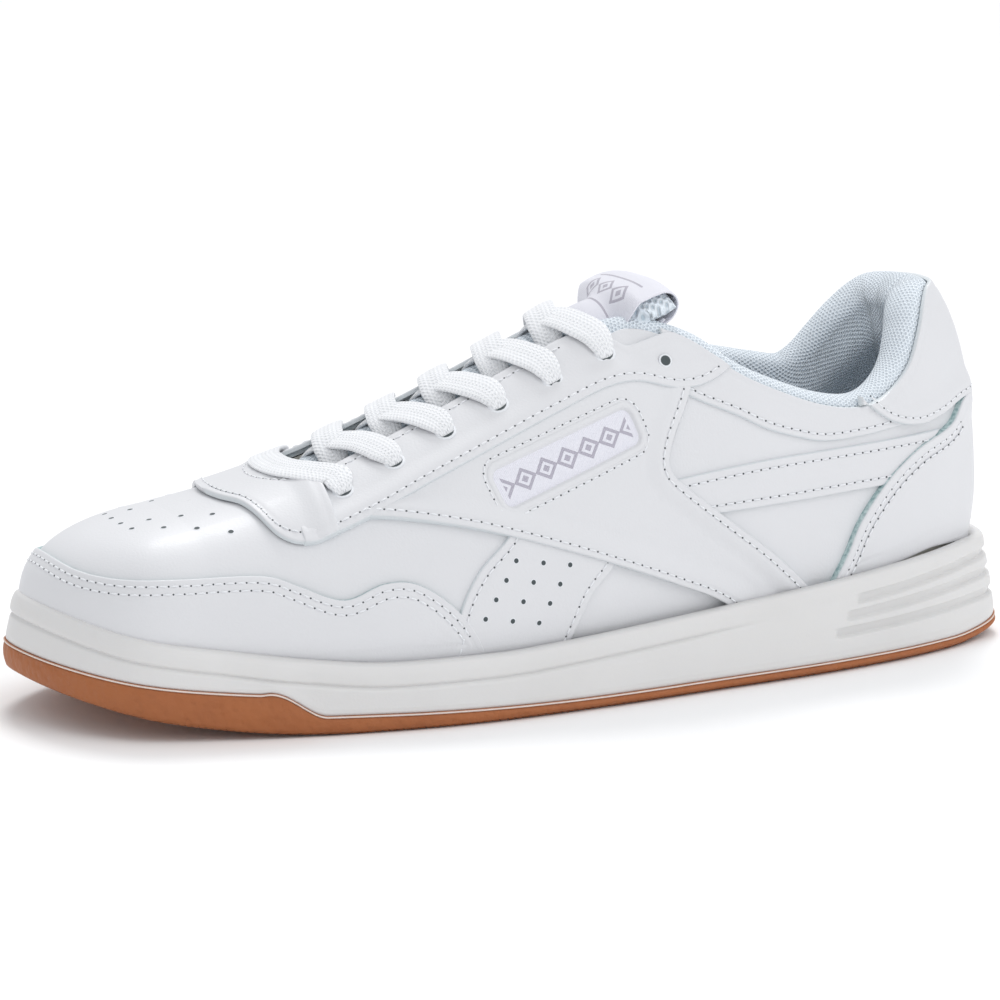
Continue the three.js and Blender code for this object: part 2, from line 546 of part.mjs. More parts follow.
const saddleArea = (side) => below(shifted(side.eyestay, 0, -GAP)).intersect(above(saddleFront))
  .intersect(frontOf(saddleRear));
const windowCentre = [-3.5 * GRADE_X, 67.8 * GRADE_Z];
const windowTilt = Math.atan2(14.2 * GRADE_Z, 41 * GRADE_X);
const WINDOW = { length: 46, height: 11, corner: 3 };
function windowShape(grow) {
  const [w, h, r] = [WINDOW.length / 2 + grow, WINDOW.height / 2 + grow, WINDOW.corner + grow];
  const points = [];
  for (const [cx, cy, start] of [[w - r, h - r, 0], [r - w, h - r, 1], [r - w, r - h, 2], [w - r, r - h, 3]]) {
    for (let k = 0; k <= 3; k++) {
      const angle = (start + k / 3) * (Math.PI / 2);
      points.push([cx + r * Math.cos(angle), cy + r * Math.sin(angle)]);
    }
  }
  const [c, s] = [Math.cos(windowTilt), Math.sin(windowTilt)];
  return points.map(([x, z]) => [windowCentre[0] + x * c - z * s, windowCentre[1] + x * s + z * c]);
}
const saddle = (side) => {
  const body = coverLayer.intersect(saddleArea(side)).intersect(side.half).subtract(holes);
  return mainBody(side.window ? body.subtract(sideCut(windowShape(0), -FAR, 0)) : body);
};
const labelLayer = () => layer(GAP, GAP + 0.7);
const windowLabel = () => mainBody(labelLayer().intersect(sideCut(windowShape(-GAP), -FAR, 0)));

const foxing = () => mainBody(coverLayer.intersect(behind(foxingEdge))
  .intersect(below(shifted(heelTabEdge, 0, -GAP))));
const toeGuard = () => mainBody(coverLayer.intersect(below(guardEdge)));
const frontStrap = (side) => {
  const band = behind(frontStrapFore).intersect(frontOf(frontStrapRear));
  return mainBody(coverLayer.intersect(band).intersect(below(shifted(saddleFront, 0, -GAP))).intersect(side.half));
};
const frontStrapSpace = behind(shifted(frontStrapFore, -GAP, 0));
const rearStrap = (side) => mainBody(coverLayer.intersect(below(rearStrapTop)).intersect(above(rearStrapFoot))
  .intersect(behind(shifted(saddleRear, GAP, 0))).intersect(frontOf(shifted(foxingEdge, -GAP, 0)))
  .intersect(side.half));
const collarPanel = (side) => mainBody(coverLayer.intersect(above(collarSeam))
  .intersect(behind(smoothLine(graded([[56.5, 140], [52.5, 88], [36.5, 80], [36.5, 60]]))))
  .intersect(side.half).subtract(opening)
  .subtract(above(shifted(heelTabEdge, 0, -GAP)).intersect(behind(smoothLine(graded([[91, 140], [91, 60]]))))));
const heelTab = () => mainBody(coverLayer.intersect(above(heelTabEdge))
  .intersect(behind(smoothLine(graded([[92, 140], [92, 60]])))).subtract(opening));

// ---------------------------------------------------------------- tongue
const TONGUE_HINGE = 19 * GRADE_X;
const TONGUE_START = -88 * GRADE_X;
const TONGUE_END = 42 * GRADE_X;
const TONGUE_RISE = 7;         // over which the tongue comes out from under the eyestays
const tongueHalf = (x) => smooth(x, along([[-88, TONGUE_WIDTH / 2 - 7], [-60, TONGUE_WIDTH / 2 - 3],
  [-10, TONGUE_WIDTH / 2], [19, TONGUE_WIDTH / 2]]));
const gape = COLLAR_GAPE / 2;
const tongueTopHalf = (x) => LINING_IN + smooth(x, along([[19, half - 0.9], [26, gape - 9.2], [33, gape - 5.8],
  [42, gape - 0.4]]));
const LACE_SPACE = LINING_IN - 2 * GAP - LACE_THICK - 1.6;

// Face of the tongue at x, off the crest by v: pressed in under the eyestays, crowned between them, then
// standing up out of the throat with a flatter section.
function tongueAt(x, v) {
  const arch = Math.max(0, 1 - (v / (half + 1)) ** 2);
  const crown = smooth(x, along([[-80, 0], [-66, 3.6], [8, 3.6], [19, 4]])) * arch;
  const under = topPoint(x, v, LACE_SPACE + crown).point;
  const free = THREE.MathUtils.smoothstep(x, TONGUE_HINGE, TONGUE_HINGE + TONGUE_RISE * GRADE_X);
  if (free === 0) return under;
  const lift = smooth(x, along([[19, -2.6], [30, 0.6], [42, 1.5]]));
  const drop = smooth(x, along([[19, 20], [30, 11], [42, 8]])) * (v / (gape - 1.8)) ** 2;
  return under.lerp(new THREE.Vector3(x, crestSide(x) + v, crest(x) + lift - drop), free);
}

function tonguePoint(x, v, depth) {
  const step = 0.5;
  const normal = new THREE.Vector3().crossVectors(
    tongueAt(x + step, v).sub(tongueAt(x - step, v)), tongueAt(x, v + step).sub(tongueAt(x, v - step))).normalize();
  return tongueAt(x, v).addScaledVector(normal, -depth);
}

// One layer of the tongue between two depths under its face, from x0 to x1.
function tongueLayer(x0, x1, from, to, halfWidth) {
  const steps = Math.max(4, Math.round((x1 - x0) / 9));
  const across = 8;
  const rows = [];
  for (let j = 0; j <= steps; j++) {
    const x = x0 + ((x1 - x0) * j) / steps;
    const wide = halfWidth(x);
    const face = [];
    const back = [];
    for (let i = 0; i <= across; i++) {
      const v = wide * ((2 * i) / across - 1);
      face.push(tonguePoint(x, v, from));
      back.unshift(tonguePoint(x, v, to));
    }
    rows.push([...face, ...back]);
  }
  return toSolid(stripGeometry(rows));
}

// Rows that are closed sections, joined from first to last, with both ends closed.
function stripGeometry(rows) {
  const count = rows[0].length;
  const positions = rows.flat().flatMap((p) => p.toArray());
  const index = [];
  const quad = (a, b, c, d) => index.push(a, b, c, a, c, d);
  for (let j = 0; j + 1 < rows.length; j++) {
    for (let i = 0; i < count; i++) {
      const n = (i + 1) % count;
      quad(j * count + n, j * count + i, (j + 1) * count + i, (j + 1) * count + n);
    }
  }
  const cap = (base, flip) => {
    for (let i = 0; i + 1 < count / 2; i++) {
      const [a, b, c, d] = [base + i, base + i + 1, base + count - 2 - i, base + count - 1 - i];
      if (flip) quad(a, d, c, b);
      else quad(a, b, c, d);
    }
  };
  cap(0, false);
  cap((rows.length - 1) * count, true);
  const geometry = new THREE.BufferGeometry();
  geometry.setAttribute('position', new THREE.Float32BufferAttribute(positions, 3));
  geometry.setIndex(index);
  return geometry;
}

const TONGUE_SKIN = 0.9;
const PLY_GAP = 0.8;
const foamBack = TONGUE_SKIN + PLY_GAP + TONGUE_FOAM;
const tonguePlies = {
  face: [0, TONGUE_SKIN],
  foam: [TONGUE_SKIN + PLY_GAP, foamBack],
  lining: [foamBack + PLY_GAP, foamBack + PLY_GAP + TONGUE_SKIN],
};
const lowerTongue = (ply) => tongueLayer(TONGUE_START, TONGUE_HINGE - GAP, ...tonguePlies[ply], tongueHalf);
const upperTongue = (ply) => tongueLayer(TONGUE_HINGE + GAP, TONGUE_END, ...tonguePlies[ply], tongueTopHalf);
const LABEL_THICK = 0.8;
const LABEL_MARGIN = 2;        // mesh left free on each side of it
const tongueLabel = () => tongueLayer(TONGUE_HINGE + 4, TONGUE_END, -PLY_GAP - LABEL_THICK, -PLY_GAP,
  (x) => tongueTopHalf(x) - LABEL_MARGIN);

// ---------------------------------------------------------------- lace
// One flat lace, held all the way: a bar over the lowest eyelets, then crossing to the top, with both
// ends tucked down inside. Each stop is a point, the direction that the lace's face looks, and its width.
function laceHalf(side) {
  const over = COVER_OUT + GAP + LACE_THICK / 2 + 0.2;
  const under = LINING_IN - GAP - LACE_THICK / 2 - 0.9;
  const stops = [];
  const add = (x, v, offset, face, width) => {
    const { point, normal } = topPoint(x, v, offset);
    const away = Math.sign(v);
    const outward = new THREE.Vector3(0, away, 0).addScaledVector(normal, -normal.y * away).normalize();
    const looks = normal.clone().multiplyScalar(face[0]).addScaledVector(outward, face[1]).normalize();
    stops.push({ point, looks, width });
  };
  let s = side;
  let turn = 1;
  ROWS.forEach((x, row) => {
    const narrow = LACE_THICK * 2;
    const w = eyeletOffset;
    if (row > 0) {
      const from = ROWS[row - 1];
      const lift = (row % 2 === 0) === (side > 0) ? LACE_THICK + 2 * GAP + 0.2 : 0;
      add(from + (x - from) * 0.42, -s * (half + 2), under, [turn, 0], LACE_WIDTH * 0.7);
      add(from + (x - from) * 0.56, -s * half * 0.48, under + 5, [turn, 0], LACE_WIDTH * 0.9);
      add(from + (x - from) * 0.68, 0, over + 0.6 + lift, [turn, 0], LACE_WIDTH);
      add(from + (x - from) * 0.84, s * half * 0.8, over + 0.7, [turn, 0], LACE_WIDTH);
    } else {
      add(x, s * 4, over + 0.8, [turn, 0], LACE_WIDTH);
      add(x, s * (half + 1), over + 0.4, [turn, 0], LACE_WIDTH);
    }
    add(x, s * (w - 3.2), over + LACE_THICK * 0.25, [turn, 0], LACE_WIDTH * 0.8);
    add(x, s * (w - 0.6), over - 0.3, [turn * 0.7, turn * 0.7], narrow);
    add(x, s * w, -1, [0, turn], narrow);
    add(x, s * (w - 0.5), under + 0.7, [-turn * 0.7, turn * 0.7], narrow);
    if (row < ROWS.length - 1) add(x + 1.5, s * (w - 3.2), under, [-turn, 0], LACE_WIDTH * 0.6);
    turn = -turn;
    if (row < ROWS.length - 1) s = -s;
  });
  return { stops, s, turn, under };
}

// A flat section carried through stops, as one closed body.
function ribbon(stops, thickness, steps) {
  const curve = new THREE.CatmullRomCurve3(stops.map((stop) => stop.point), false, 'centripetal');
  const total = steps * (stops.length - 1);
  const rows = [];
  for (let k = 0; k <= total; k++) {
    const place = (k / total) * (stops.length - 1);
    const i = Math.min(Math.floor(place), stops.length - 2);
    const share = place - i;
    const point = curve.getPoint(k / total);
    const tangent = curve.getTangent(k / total);
    const face = stops[i].looks.clone().lerp(stops[i + 1].looks, share);
    face.addScaledVector(tangent, -face.dot(tangent)).normalize();
    const across = new THREE.Vector3().crossVectors(tangent, face).normalize();
    const w = THREE.MathUtils.lerp(stops[i].width, stops[i + 1].width, share) / 2;
    const t = thickness / 2;
    const section = [[-w, 0], [-w * 0.8, t], [w * 0.8, t], [w, 0], [w * 0.8, -t], [-w * 0.8, -t]];
    rows.push(section.map(([a, b]) => point.clone().addScaledVector(across, a).addScaledVector(face, b)));
  }
  return rows;
}

// The last stops of one end: from under the top eyelet, out along the lining.
function tail({ s, turn, under, stops }) {
  const x = ROWS[ROWS.length - 1];
  const places = [[x - 1, 2.5, 0, 0.5], [x - 3, 5.5, 1.1, 0.5], [x - 6, 7.5, 2.2, 0.4]];
  places.forEach(([px, out, drop, share]) => {
    const { point, normal } = topPoint(px, s * (eyeletOffset + out), under - drop);
    stops.push({ point, looks: normal.multiplyScalar(turn), width: LACE_WIDTH * share });
  });
  return { s, turn, under, stops };
}

const outerRun = tail(laceHalf(-1));
const innerRun = tail(laceHalf(1));

const shoelace = () => mainBody(toSolid(sectionGeometry(
  ribbon([...[...outerRun.stops].reverse(), ...innerRun.stops], LACE_THICK, 1))));

// A stack of convex sections joined into one closed body.
function sectionGeometry(rows) {
  const count = rows[0].length;
  const positions = rows.flat().flatMap((p) => p.toArray());
  const index = [];
  for (let j = 0; j + 1 < rows.length; j++) {
    for (let i = 0; i < count; i++) {
      const n = (i + 1) % count;
      const [a, b] = [j * count + i, j * count + n];
      index.push(a, b + count, a + count, a, b, b + count);
    }
  }
  const lastRow = (rows.length - 1) * count;
  for (let i = 1; i + 1 < count; i++) {
    index.push(0, i + 1, i);
    index.push(lastRow, lastRow + i, lastRow + i + 1);
  }
  const geometry = new THREE.BufferGeometry();
  geometry.setAttribute('position', new THREE.Float32BufferAttribute(positions, 3));
  geometry.setIndex(index);
  return geometry;
}

const AGLET = { length: 18, width: 3, thick: 2 };
function aglet({ s, turn, under, stops }) {
  const [before, end] = stops.slice(-2);
  const way = end.point.clone().sub(before.point).normalize();
  const x = ROWS[ROWS.length - 1] - 6;
  const v = s * (eyeletOffset + 8.2);
  const places = [0.5, 1].map((share) => topPoint(x - AGLET.length * share, v, under - 2.4));
  const run = [
    { point: end.point.clone().addScaledVector(way, GAP + AGLET.width / 2), looks: end.looks },
    ...places.map(({ point, normal }) => ({ point, looks: normal.multiplyScalar(turn) })),
  ];
  const stopsOfTip = run.map((stop) => ({ ...stop, width: AGLET.width }));
  return toSolid(sectionGeometry(ribbon(stopsOfTip, AGLET.thick, 1)));
}

// ---------------------------------------------------------------- materials
const finish = (color, roughness) => new THREE.MeshStandardMaterial({ color, roughness, metalness: 0 });
const FINISHES = {
  leather: () => finish(0xf1f2f4, 0.5),
  gum: () => finish(0xb8713b, 0.7),
  cup: () => finish(0xf0efec, 0.55),
  foam: () => finish(0xe6e6e2, 0.9),
  board: () => finish(0xc9b795, 0.9),
  stiffener: () => finish(0xd8d4c8, 0.8),
  mesh: () => finish(0xe3e9f2, 0.9),
  lining: () => finish(0xcfdcec, 0.95),
  lace: () => finish(0xf4f5f8, 0.85),
  label: () => finish(0xf3f3f7, 0.6),
  aglet: () => finish(0xf5f5f5, 0.3),
};

// ---------------------------------------------------------------- assembly
const shoe = new THREE.Group();
shoe.name = 'court_shoe';
function add(name, solid, material) {
  const mesh = new THREE.Mesh(toGeometry(solid), FINISHES[material]());
  mesh.name = name;
  shoe.add(mesh);
}

add('outsole', outsole(), 'gum');
add('cupsole', cupsole(), 'cup');
add('midsole_foam', midsoleFoam(), 'foam');
add('insole_board', insoleBoard(), 'board');
add('sockliner', sockliner(), 'foam');
add('toe_puff', toePuff(), 'stiffener');
add('heel_counter', heelCounter(), 'stiffener');
add('vamp_lining', vampLining(), 'lining');
add('collar_lining', collarLining(), 'lining');
add('collar_foam', collarFoam(), 'foam');
add('vamp', vamp(), 'leather');
add('toe_guard', mainBody(toeGuard().subtract(frontStrapSpace)), 'leather');
add('throat_bridge', throatBridge(), 'leather');
add('heel_foxing', foxing(), 'leather');
add('heel_tab', heelTab(), 'leather');
add('window_label', windowLabel(), 'label');
for (const [name, side] of Object.entries(SIDES)) {
  add(`quarter_${name}`, quarter(side), 'leather');
  add(`eyestay_backing_${name}`, eyestayBacking(side), 'stiffener');
  add(`eyestay_${name}`, eyestay(side), 'leather');
  add(`saddle_${name}`, saddle(side), 'leather');
  add(`front_strap_${name}`, frontStrap(side), 'leather');
  add(`rear_strap_${name}`, rearStrap(side), 'leather');
  add(`collar_panel_${name}`, collarPanel(side), 'leather');
}
for (const name of ['face', 'foam', 'lining']) {
  add(`tongue_${name}`, lowerTongue(name), name === 'foam' ? 'foam' : 'mesh');
  add(`tongue_top_${name}`, upperTongue(name), name === 'foam' ? 'foam' : 'mesh');
}
add('tongue_label', tongueLabel(), 'label');
add('shoelace', shoelace(), 'lace');
add('aglet_outer', aglet(outerRun), 'aglet');
add('aglet_inner', aglet(innerRun), 'aglet');

export default shoe;
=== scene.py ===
import bmesh
import bpy
import numpy as np
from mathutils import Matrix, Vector


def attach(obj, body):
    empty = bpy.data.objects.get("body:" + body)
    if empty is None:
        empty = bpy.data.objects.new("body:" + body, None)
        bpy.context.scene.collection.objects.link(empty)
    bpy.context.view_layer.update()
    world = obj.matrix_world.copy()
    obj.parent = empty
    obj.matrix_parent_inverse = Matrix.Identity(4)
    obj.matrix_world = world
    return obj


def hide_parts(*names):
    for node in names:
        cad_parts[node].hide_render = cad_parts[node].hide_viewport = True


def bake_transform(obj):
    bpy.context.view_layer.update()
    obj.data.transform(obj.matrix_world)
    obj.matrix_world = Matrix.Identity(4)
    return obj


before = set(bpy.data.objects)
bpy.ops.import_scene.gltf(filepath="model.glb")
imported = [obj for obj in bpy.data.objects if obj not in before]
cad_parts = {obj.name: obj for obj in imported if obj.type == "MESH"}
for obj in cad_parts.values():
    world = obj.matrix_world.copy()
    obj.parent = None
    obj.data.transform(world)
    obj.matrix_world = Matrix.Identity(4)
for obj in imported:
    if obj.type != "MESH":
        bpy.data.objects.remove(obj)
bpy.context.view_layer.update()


# ---- Camera
# A long lens looks down a little on the outer side and the toe of the shoe, from a good metre away.
view_angle, view_height = np.radians([-24.5, 11.3])
aim = Vector((-0.0065, 0.00335, 0.0495))
back = Vector((np.sin(view_angle) * np.cos(view_height), -np.cos(view_angle) * np.cos(view_height),
               np.sin(view_height)))
lens = bpy.data.cameras.new("long_lens")
lens.sensor_width = 36
lens.lens = 159.1
lens.clip_end = 20
camera = bpy.data.objects.new("camera", lens)
camera.location = aim + back * 1.25
camera.rotation_euler = (-back).to_track_quat("-Z", "Y").to_euler()
bpy.context.scene.collection.objects.link(camera)
bpy.context.scene.camera = camera


# ---- Floor and light
# The shoe stands on a plain pale floor, under two large soft lamps and soft light from a window behind.
# Every finish is a Principled surface, whose patterns are sums and products of a few nodes.
class Value:
    """A number that changes over a surface. Sums, products and comparisons of values add Math nodes."""

    def __init__(self, finish, socket):
        self.finish, self.socket = finish, socket

    def math(self, operation, *terms):
        return self.finish.node("ShaderNodeMath", {"operation": operation}, *terms)

    def __add__(self, other): return self.math("ADD", self, other)
    def __sub__(self, other): return self.math("SUBTRACT", self, other)
    def __mul__(self, other): return self.math("MULTIPLY", self, other)
    def __truediv__(self, other): return self.math("DIVIDE", self, other)
    def __rsub__(self, other): return self.math("SUBTRACT", other, self)
    def __lt__(self, other): return self.math("LESS_THAN", self, other)
    def __gt__(self, other): return self.math("GREATER_THAN", self, other)
    __radd__, __rmul__ = __add__, __mul__

    def wave(self, pitch):
        """1 on the crests and -1 in the hollows of a wave of that pitch."""
        return self.math("COSINE", self * (2 * np.pi / pitch))

    def ramp(self, low, high, start=0.0, end=1.0):
        """A smooth step from start, at low, to end, at high."""
        return self.finish.node("ShaderNodeMapRange", {"interpolation_type": "SMOOTHSTEP"}, self, low, high,
                                start, end)


class Finish:
    """A material with one Principled surface. Its plain numbers are set on the surface's own sockets."""

    def __init__(self, name, **plain):
        self.material = bpy.data.materials.new(name)
        self.material.use_nodes = True
        self.tree = self.material.node_tree
        self.surface = self.tree.nodes["Principled BSDF"]
        for key, number in plain.items():
            self.surface.inputs[key.replace("_", " ").title()].default_value = number

    def node(self, kind, settings, *inputs, out=0, **named):
        """A node of that kind: settings first, then its inputs in order or by name."""
        made = self.tree.nodes.new(kind)
        for key, choice in settings.items():
            setattr(made, key, choice)
        for key, term in [*enumerate(inputs), *named.items()]:
            socket = made.inputs[key if isinstance(key, int) else key.replace("_", " ")]
            if isinstance(term, Value):
                self.tree.links.new(term.socket, socket)
            elif term is not None:
                socket.default_value = term
        return Value(self, made.outputs[out])

    def place(self):
        return self.node("ShaderNodeTexCoord", {}, out="Object")

    def kept(self, name, out="Fac"):
        """What the mesh keeps under that name at each of its points."""
        return self.node("ShaderNodeAttribute", {"attribute_name": name}, out=out)

    def parts(self, vector):
        return [self.node("ShaderNodeSeparateXYZ", {}, vector, out=k) for k in range(3)]

    def noise(self, where, scale, detail=2.0):
        return self.node("ShaderNodeTexNoise", {}, where, Scale=scale, Detail=detail)

    def cells(self, where, scale, feature="F1"):
        return self.node("ShaderNodeTexVoronoi", {"feature": feature}, where, Scale=scale, out="Distance")

    def blend(self, share, first, second):
        """first where share is 0 and second where it is 1; each is a colour."""
        mix = self.tree.nodes.new("ShaderNodeMix")
        mix.data_type = "RGBA"
        for socket, term in zip([mix.inputs[0], mix.inputs[6], mix.inputs[7]], [share, first, second]):
            if isinstance(term, Value):
                self.tree.links.new(term.socket, socket)
            else:
                socket.default_value = term if np.isscalar(term) else (*term, 1)
        return Value(self, mix.outputs[2])

    def wear(self, colour=None, roughness=None, height=None, depth=0.0001, strength=1.0):
        """Joins the patterns to the surface; height is a relief whose full range is depth metres."""
        for key, term in [("Base Color", colour), ("Roughness", roughness)]:
            if isinstance(term, Value):
                self.tree.links.new(term.socket, self.surface.inputs[key])
            elif term is not None:
                self.surface.inputs[key].default_value = term if np.isscalar(term) else (*term, 1)
        if height is not None:
            bump = self.node("ShaderNodeBump", {}, Strength=strength, Distance=depth, Height=height,
                             out="Normal")
            self.tree.links.new(bump.socket, self.surface.inputs["Normal"])
        return self.material


floor_finish = Finish("pale_floor", roughness=0.9)
floor_finish.wear(colour=floor_finish.blend(floor_finish.noise(floor_finish.place(), 3), (0.93, 0.93, 0.93),
                                            (0.95, 0.95, 0.95)))
floor_mesh = bpy.data.meshes.new("floor")
floor_mesh.from_pydata([(-8, -8, 0), (8, -8, 0), (8, 8, 0), (-8, 8, 0)], [], [(0, 1, 2, 3)])
floor_mesh.materials.append(floor_finish.material)
floor = bpy.data.objects.new("floor", floor_mesh)
bpy.context.scene.collection.objects.link(floor)

for name, kind, spread, size, spot, power in [("key", "AREA", "size", 1.2, (0.3, -0.9, 1.4), 6.2),
                                              ("fill", "AREA", "size", 1.4, (1.3, -1.0, 0.7), 2.8),
                                              ("window", "SUN", "angle", 0.35, (0.3, 0.75, 1.2), 1.2)]:
    lamp = bpy.data.lights.new(name, kind)
    setattr(lamp, spread, size)
    lamp.energy = power
    holder = bpy.data.objects.new(name, lamp)
    holder.location = spot
    holder.rotation_euler = (aim - Vector(spot)).to_track_quat("-Z", "Y").to_euler()
    bpy.context.scene.collection.objects.link(holder)
sky = bpy.data.worlds.new("white_room")
sky.use_nodes = True
sky.node_tree.nodes["Background"].inputs["Color"].default_value = (0.97, 0.98, 1, 1)
sky.node_tree.nodes["Background"].inputs["Strength"].default_value = 0.76
bpy.context.scene.world = sky
bpy.context.scene.view_settings.view_transform = "Standard"


# ---- Outsole
# One sheet of pebbled gum rubber, 3.6 mm thick, with a higher bumper moulded round the toe. The cup is
# cemented to it, and a thin lip shows along the join.
def catmull(points, steps, closed=False):
    """A centripetal Catmull-Rom line: between neighbours, a cubic whose end slopes are weighed by the
    square roots of the distances to the points on either side."""
    p = np.asarray(points, float)
    if closed:
        p = np.concatenate([p[-1:], p, p[:2]])
    else:
        p = np.concatenate([2 * p[:1] - p[1:2], p, 2 * p[-1:] - p[-2:-1]])
    gap = np.sqrt(np.linalg.norm(np.diff(p, axis=0), axis=1))[:, None]
    d0, d1, d2 = gap[:-2], gap[1:-1], gap[2:]
    p0, p1, p2, p3 = p[:-3], p[1:-2], p[2:-1], p[3:]
    start = ((p1 - p0) / d0 - (p2 - p0) / (d0 + d1) + (p2 - p1) / d1) * d1
    end = ((p2 - p1) / d1 - (p3 - p1) / (d1 + d2) + (p3 - p2) / d2) * d1
    t = np.linspace(0, 1, steps, endpoint=False)[None, :, None]
    p1, p2, start, end = (q[:, None] for q in (p1, p2, start, end))
    line = p1 + start * t + (3 * (p2 - p1) - 2 * start - end) * t**2 + (2 * (p1 - p2) + start + end) * t**3
    line = line.reshape(-1, p.shape[1])
    return line if closed else np.concatenate([line, p[-2:-1]])


def smooth(x, knots):
    """A cubic through knots (x, value), whose slope at a knot is that of the line through its neighbours;
    level beyond the ends."""
    k = np.asarray(knots, float)
    slope = np.empty(len(k))
    slope[1:-1] = (k[2:, 1] - k[:-2, 1]) / (k[2:, 0] - k[:-2, 0])
    slope[0], slope[-1] = (k[1, 1] - k[0, 1]) / (k[1, 0] - k[0, 0]), (k[-1, 1] - k[-2, 1]) / (k[-1,
                                                                                                0] - k[-2, 0])
    t = np.clip(x, k[0, 0], k[-1, 0])
    i = np.clip(np.searchsorted(k[:, 0], t, side="right") - 1, 0, len(k) - 2)
    h = k[i + 1, 0] - k[i, 0]
    s = (t - k[i, 0]) / h
    p, q = k[i, 1], k[i + 1, 1]
    return (p + s * h * slope[i] * (1 - s)**2 + (q - p) * s * s * (3 - 2 * s)
            - slope[i + 1] * h * s * s * (1 - s))


def step(x, low, high):
    """Smoothstep: 0 below low, 1 above high, 3s^2 - 2s^3 between."""
    s = np.clip((x - low) / (high - low), 0, 1)
    return s * s * (3 - 2 * s)


plan = np.array([
    [1, 0.06], [0.973, -0.27], [0.887, -0.44], [0.733, -0.62], [0.533, -0.755], [0.267, -0.86], [0, -0.958],
    [-0.267, -1], [-0.5, -0.925], [-0.7, -0.8], [-0.867, -0.625], [-0.967, -0.23], [-1, 0.25], [-0.967, 0.52],
    [-0.867, 0.79], [-0.7, 0.943], [-0.5, 1], [-0.267, 0.923], [0, 0.77], [0.267, 0.695], [0.533, 0.723],
    [0.733, 0.742], [0.887, 0.628], [0.973, 0.37]]) * [150, 52.35]
rim = catmull(plan, 240, closed=True)
rim -= (rim.min(0) + rim.max(0)) / 2
rim = np.concatenate([rim, rim[:1]])
rim_share = np.concatenate([[0], np.cumsum(np.linalg.norm(np.diff(rim, axis=0), axis=1))])
rim_share /= rim_share[-1]
rim_way = np.gradient(rim, rim_share, axis=0)
rim_way[0] = rim_way[-1] = (rim_way[0] + rim_way[-1]) / 2
rim_way /= np.linalg.norm(rim_way, axis=1)[:, None]


def footprint(a, inset=0.0):
    """The sole's outline at share a of its length from the heel, outer side first, moved inwards by inset."""
    u = np.mod(a, 1.0)
    x, y, tx, ty = (np.interp(u, rim_share, c) for c in (*rim.T, *rim_way.T))
    size = np.hypot(tx, ty)
    return x + ty / size * inset, y - tx / size * inset


def floor_lift(x, spring=12):
    """Toe spring and heel spring: parabolas that start at x = -70 and at x = 125."""
    return spring * (np.maximum(0, -70 - x) / 80)**2 + 3.6 * (np.maximum(0, x - 125) / 25)**2


def gum_top(x):
    """The sheet's thickness, plus 8 mm in front of x = -88, less towards the tip, with a smooth step."""
    taper = 3.6 * (np.maximum(0, -70 - x) / 80)**2
    rim_rise = smooth(x, [[-98, 0], [-84, 1.8], [-52, 1.2], [-10, 0.2], [20, 0]])
    return floor_lift(x) + 3.6 + (8 - taper) * step(-x, 80, 96) + rim_rise


def feather_inset(x):
    return smooth(x, [[-150, 5.2], [-120, 6.2], [-80, 7.4], [150, 7.8]])


tip = rim_share[np.argmin(rim[:, 0])]
toe_x, heel_x = -106.0, 100.0
dense_share = np.linspace(0, 1, 6001)
dense_x, _ = footprint(dense_share, feather_inset(footprint(dense_share)[0]))
outer_part = dense_share <= tip


def share_at(x, side):
    """Share of the outline's length at which the upper's lower edge has that x, on the outer (-1) or the
    inner (1) side."""
    part = outer_part if side < 0 else ~outer_part
    xs, shares = dense_x[part], dense_share[part]
    order = np.argsort(xs)
    return np.interp(x, xs[order], shares[order])


def stations(heel, middle, toe):
    """Shares of the outline at which sections stand: fans of heel and toe sections, and middle sections
    in pairs that share one x."""
    def one_side(start, side):
        mids = share_at(np.linspace(heel_x, toe_x, middle + 1), side)
        fan = start + (mids[0] - start) * np.arange(heel) / heel
        nose = mids[-1] + (tip - mids[-1]) * np.arange(1, toe) / toe
        return np.concatenate([fan, mids, nose])
    outer, inner = one_side(0.0, -1), one_side(1.0, 1)
    return np.concatenate([outer, [tip], inner[:0:-1]])


def body_mesh(name, points, faces, kept=None):
    """A mesh object from points in millimetres. Points that coincide are joined, faces that collapse are
    dropped, and kept holds what each point remembers."""
    points = np.asarray(points, float) / 1000
    _, first, joined = np.unique(np.round(points * 1e7).astype(np.int64), axis=0, return_index=True,
                                 return_inverse=True)
    faces = joined.reshape(-1)[np.asarray(faces)]
    after = np.roll(faces, -1, axis=1)
    distinct = (faces != after).sum(1)
    twisted = (faces[:, 0] == faces[:, 2]) | (faces[:, 1] == faces[:, -1]) & (faces.shape[1] == 4)
    whole = faces[(distinct == faces.shape[1]) & ~twisted]
    three = faces[(distinct == 3) & (faces.shape[1] == 4) & ~(faces[:, 0] == faces[:, 2])]
    three_keep = three != np.roll(three, -1, axis=1)
    corners = three[three_keep].reshape(-1, 3)
    mesh = bpy.data.meshes.new(name)
    mesh.from_pydata(points[first], [], [*whole.tolist(), *corners.tolist()])
    mesh.shade_smooth()
    for key, numbers in (kept or {}).items():
        numbers = np.asarray(numbers, np.float32)
        kind = "FLOAT" if numbers.ndim == 1 else "FLOAT_VECTOR"
        layer = mesh.attributes.new(key, kind, "POINT")
        layer.data.foreach_set("value" if numbers.ndim == 1 else "vector", numbers[first].ravel())
    made = bpy.data.objects.new(name, mesh)
    bpy.context.scene.collection.objects.link(made)
    return made


